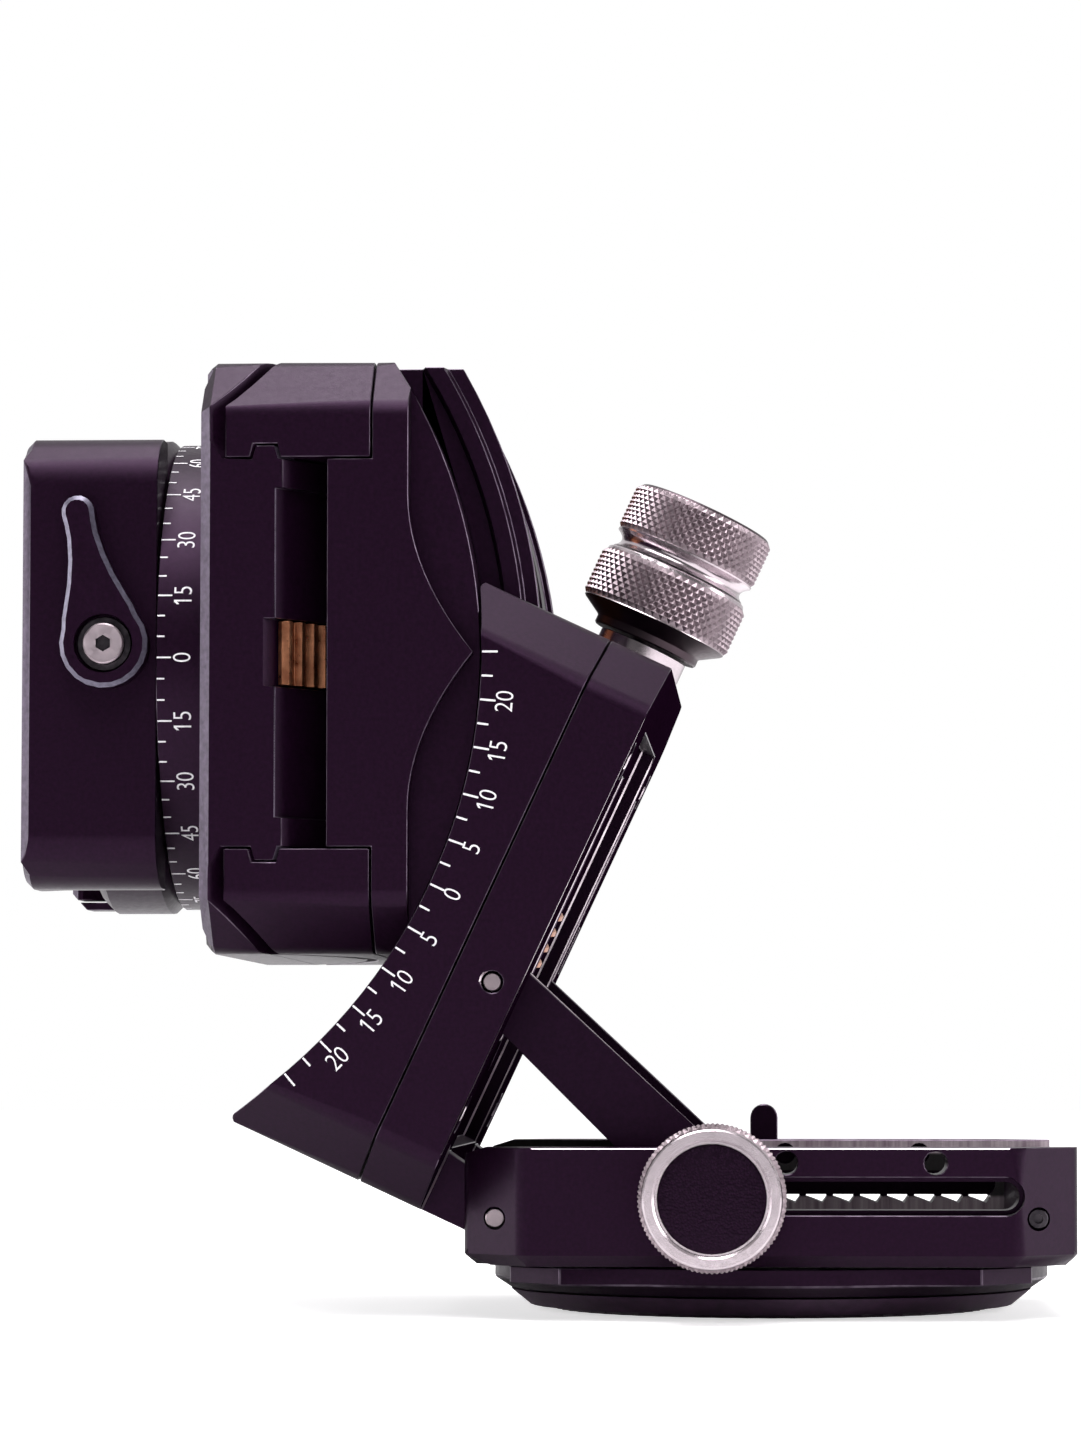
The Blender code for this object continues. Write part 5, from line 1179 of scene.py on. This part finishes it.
def makeNumber(degrees, scale):
    # centred on the origin and read along +X, its top at zero height
    words = str(abs(degrees))
    bpy.ops.object.select_all(action="DESELECT")
    bpy.ops.object.text_add(location=(0, 0, 0))
    number = bpy.context.object
    number.data.body = words
    number.data.resolution_u = digits["curveSteps"]
    number.data.extrude = digits["thick"]
    number.data.offset = digits["thin"]
    pick(number)
    bpy.ops.object.convert(target="MESH")
    number = bpy.context.object
    if words[0] == "1":
        addFlag(number)
    corners = [vert.co.copy() for vert in number.data.vertices]
    low = Vector(map(min, *corners))
    high = Vector(map(max, *corners))
    middle = (low + high) / 2
    depth = scale["depth"] * mm
    tall = scale["height"] * mm / (high.y - low.y)
    wide = tall * scale["slim"]
    number.scale = (wide, tall, depth / (high.z - low.z))
    number.location = (-middle.x * wide, -middle.y * tall, -depth / 2)
    fixPlace(number)
    pick(number)
    bpy.ops.object.mode_set(mode="EDIT")
    bpy.ops.mesh.select_all(action="SELECT")
    bpy.ops.mesh.remove_doubles(threshold=digits["weld"])
    bpy.ops.mesh.normals_make_consistent(inside=False)
    bpy.ops.object.mode_set(mode="OBJECT")
    return number


def joinMarks(marks, name, body):
    bpy.ops.object.select_all(action="DESELECT")
    for mark in marks:
        mark.select_set(True)
    bpy.context.view_layer.objects.active = marks[0]
    bpy.ops.object.join()
    piece = bpy.context.object
    piece.name = name
    giveFinishes(piece, scaleWhite)
    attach(piece, body)


def layFlat(mark, outward, radius, reading, up):
    # lays a mark on the cradle's near face, at a radius from the arc's centre
    place = arcCentre + outward * radius * mm
    place.y = (tiltScale["face"] - tiltScale["proud"]) * mm
    turn = Matrix((reading, up, reading.cross(up))).transposed().to_4x4()
    mark.matrix_world = Matrix.Translation(place) @ turn
    fixPlace(mark)


def engraveTiltScale():
    # every second tick is long, and those between the two ends have a number
    marks = []
    count = round(2 * tiltScale["ends"] / tiltScale["step"])
    for i in range(count + 1):
        degrees = tiltScale["step"] * i
        angle = math.radians(degrees)
        outward = Vector((math.cos(angle), 0, -math.sin(angle)))
        tick = makeTick(tiltScale["short"] if i % 2 else tiltScale["long"], tiltScale)
        layFlat(tick, outward, tiltScale["edge"], outward, -sideways.cross(outward))
        marks.append(tick)
        if i % 2 == 0 and 0 < i < count:
            number = makeNumber(round(tiltScale["ends"] - degrees), tiltScale)
            reading = Vector((math.sin(angle), 0, math.cos(angle)))
            layFlat(number, outward, tiltScale["labels"], reading, -outward)
            marks.append(number)
    joinMarks(marks, "tiltScaleMarks", "tilting_frame")


def wrapOnRing(mark, angle, depthAt):
    # bends a mark that lies along X and Y round the pan ring
    for vert in mark.data.vertices:
        turn = angle + vert.co.x / (panScale["radius"] * mm)
        reach = (panScale["radius"] + panScale["proud"]) * mm + vert.co.z
        vert.co = arcCentre + Vector(
            (depthAt * mm - vert.co.y, -reach * math.cos(turn), reach * math.sin(turn))
        )


def engravePanScale():
    # the ticks are turned to stand across the ring before they are wrapped
    marks = []
    for i in range(-panScale["steps"], panScale["steps"] + 1):
        degrees = panScale["step"] * i
        angle = math.radians(degrees)
        isLong = i % panScale["longEach"] == 0
        tick = makeTick(panScale["long"] if isLong else panScale["short"], panScale)
        for vert in tick.data.vertices:
            vert.co = Vector((vert.co.y, -vert.co.x, vert.co.z))
        wrapOnRing(tick, angle, panScale["start"])
        marks.append(tick)
        if isLong and abs(i) < panScale["steps"]:
            number = makeNumber(degrees, panScale)
            wrapOnRing(number, angle, panScale["labels"])
            marks.append(number)
    joinMarks(marks, "panScaleMarks", "upper_stage")


engraveTiltScale()
engravePanScale()
print("scales engraved")
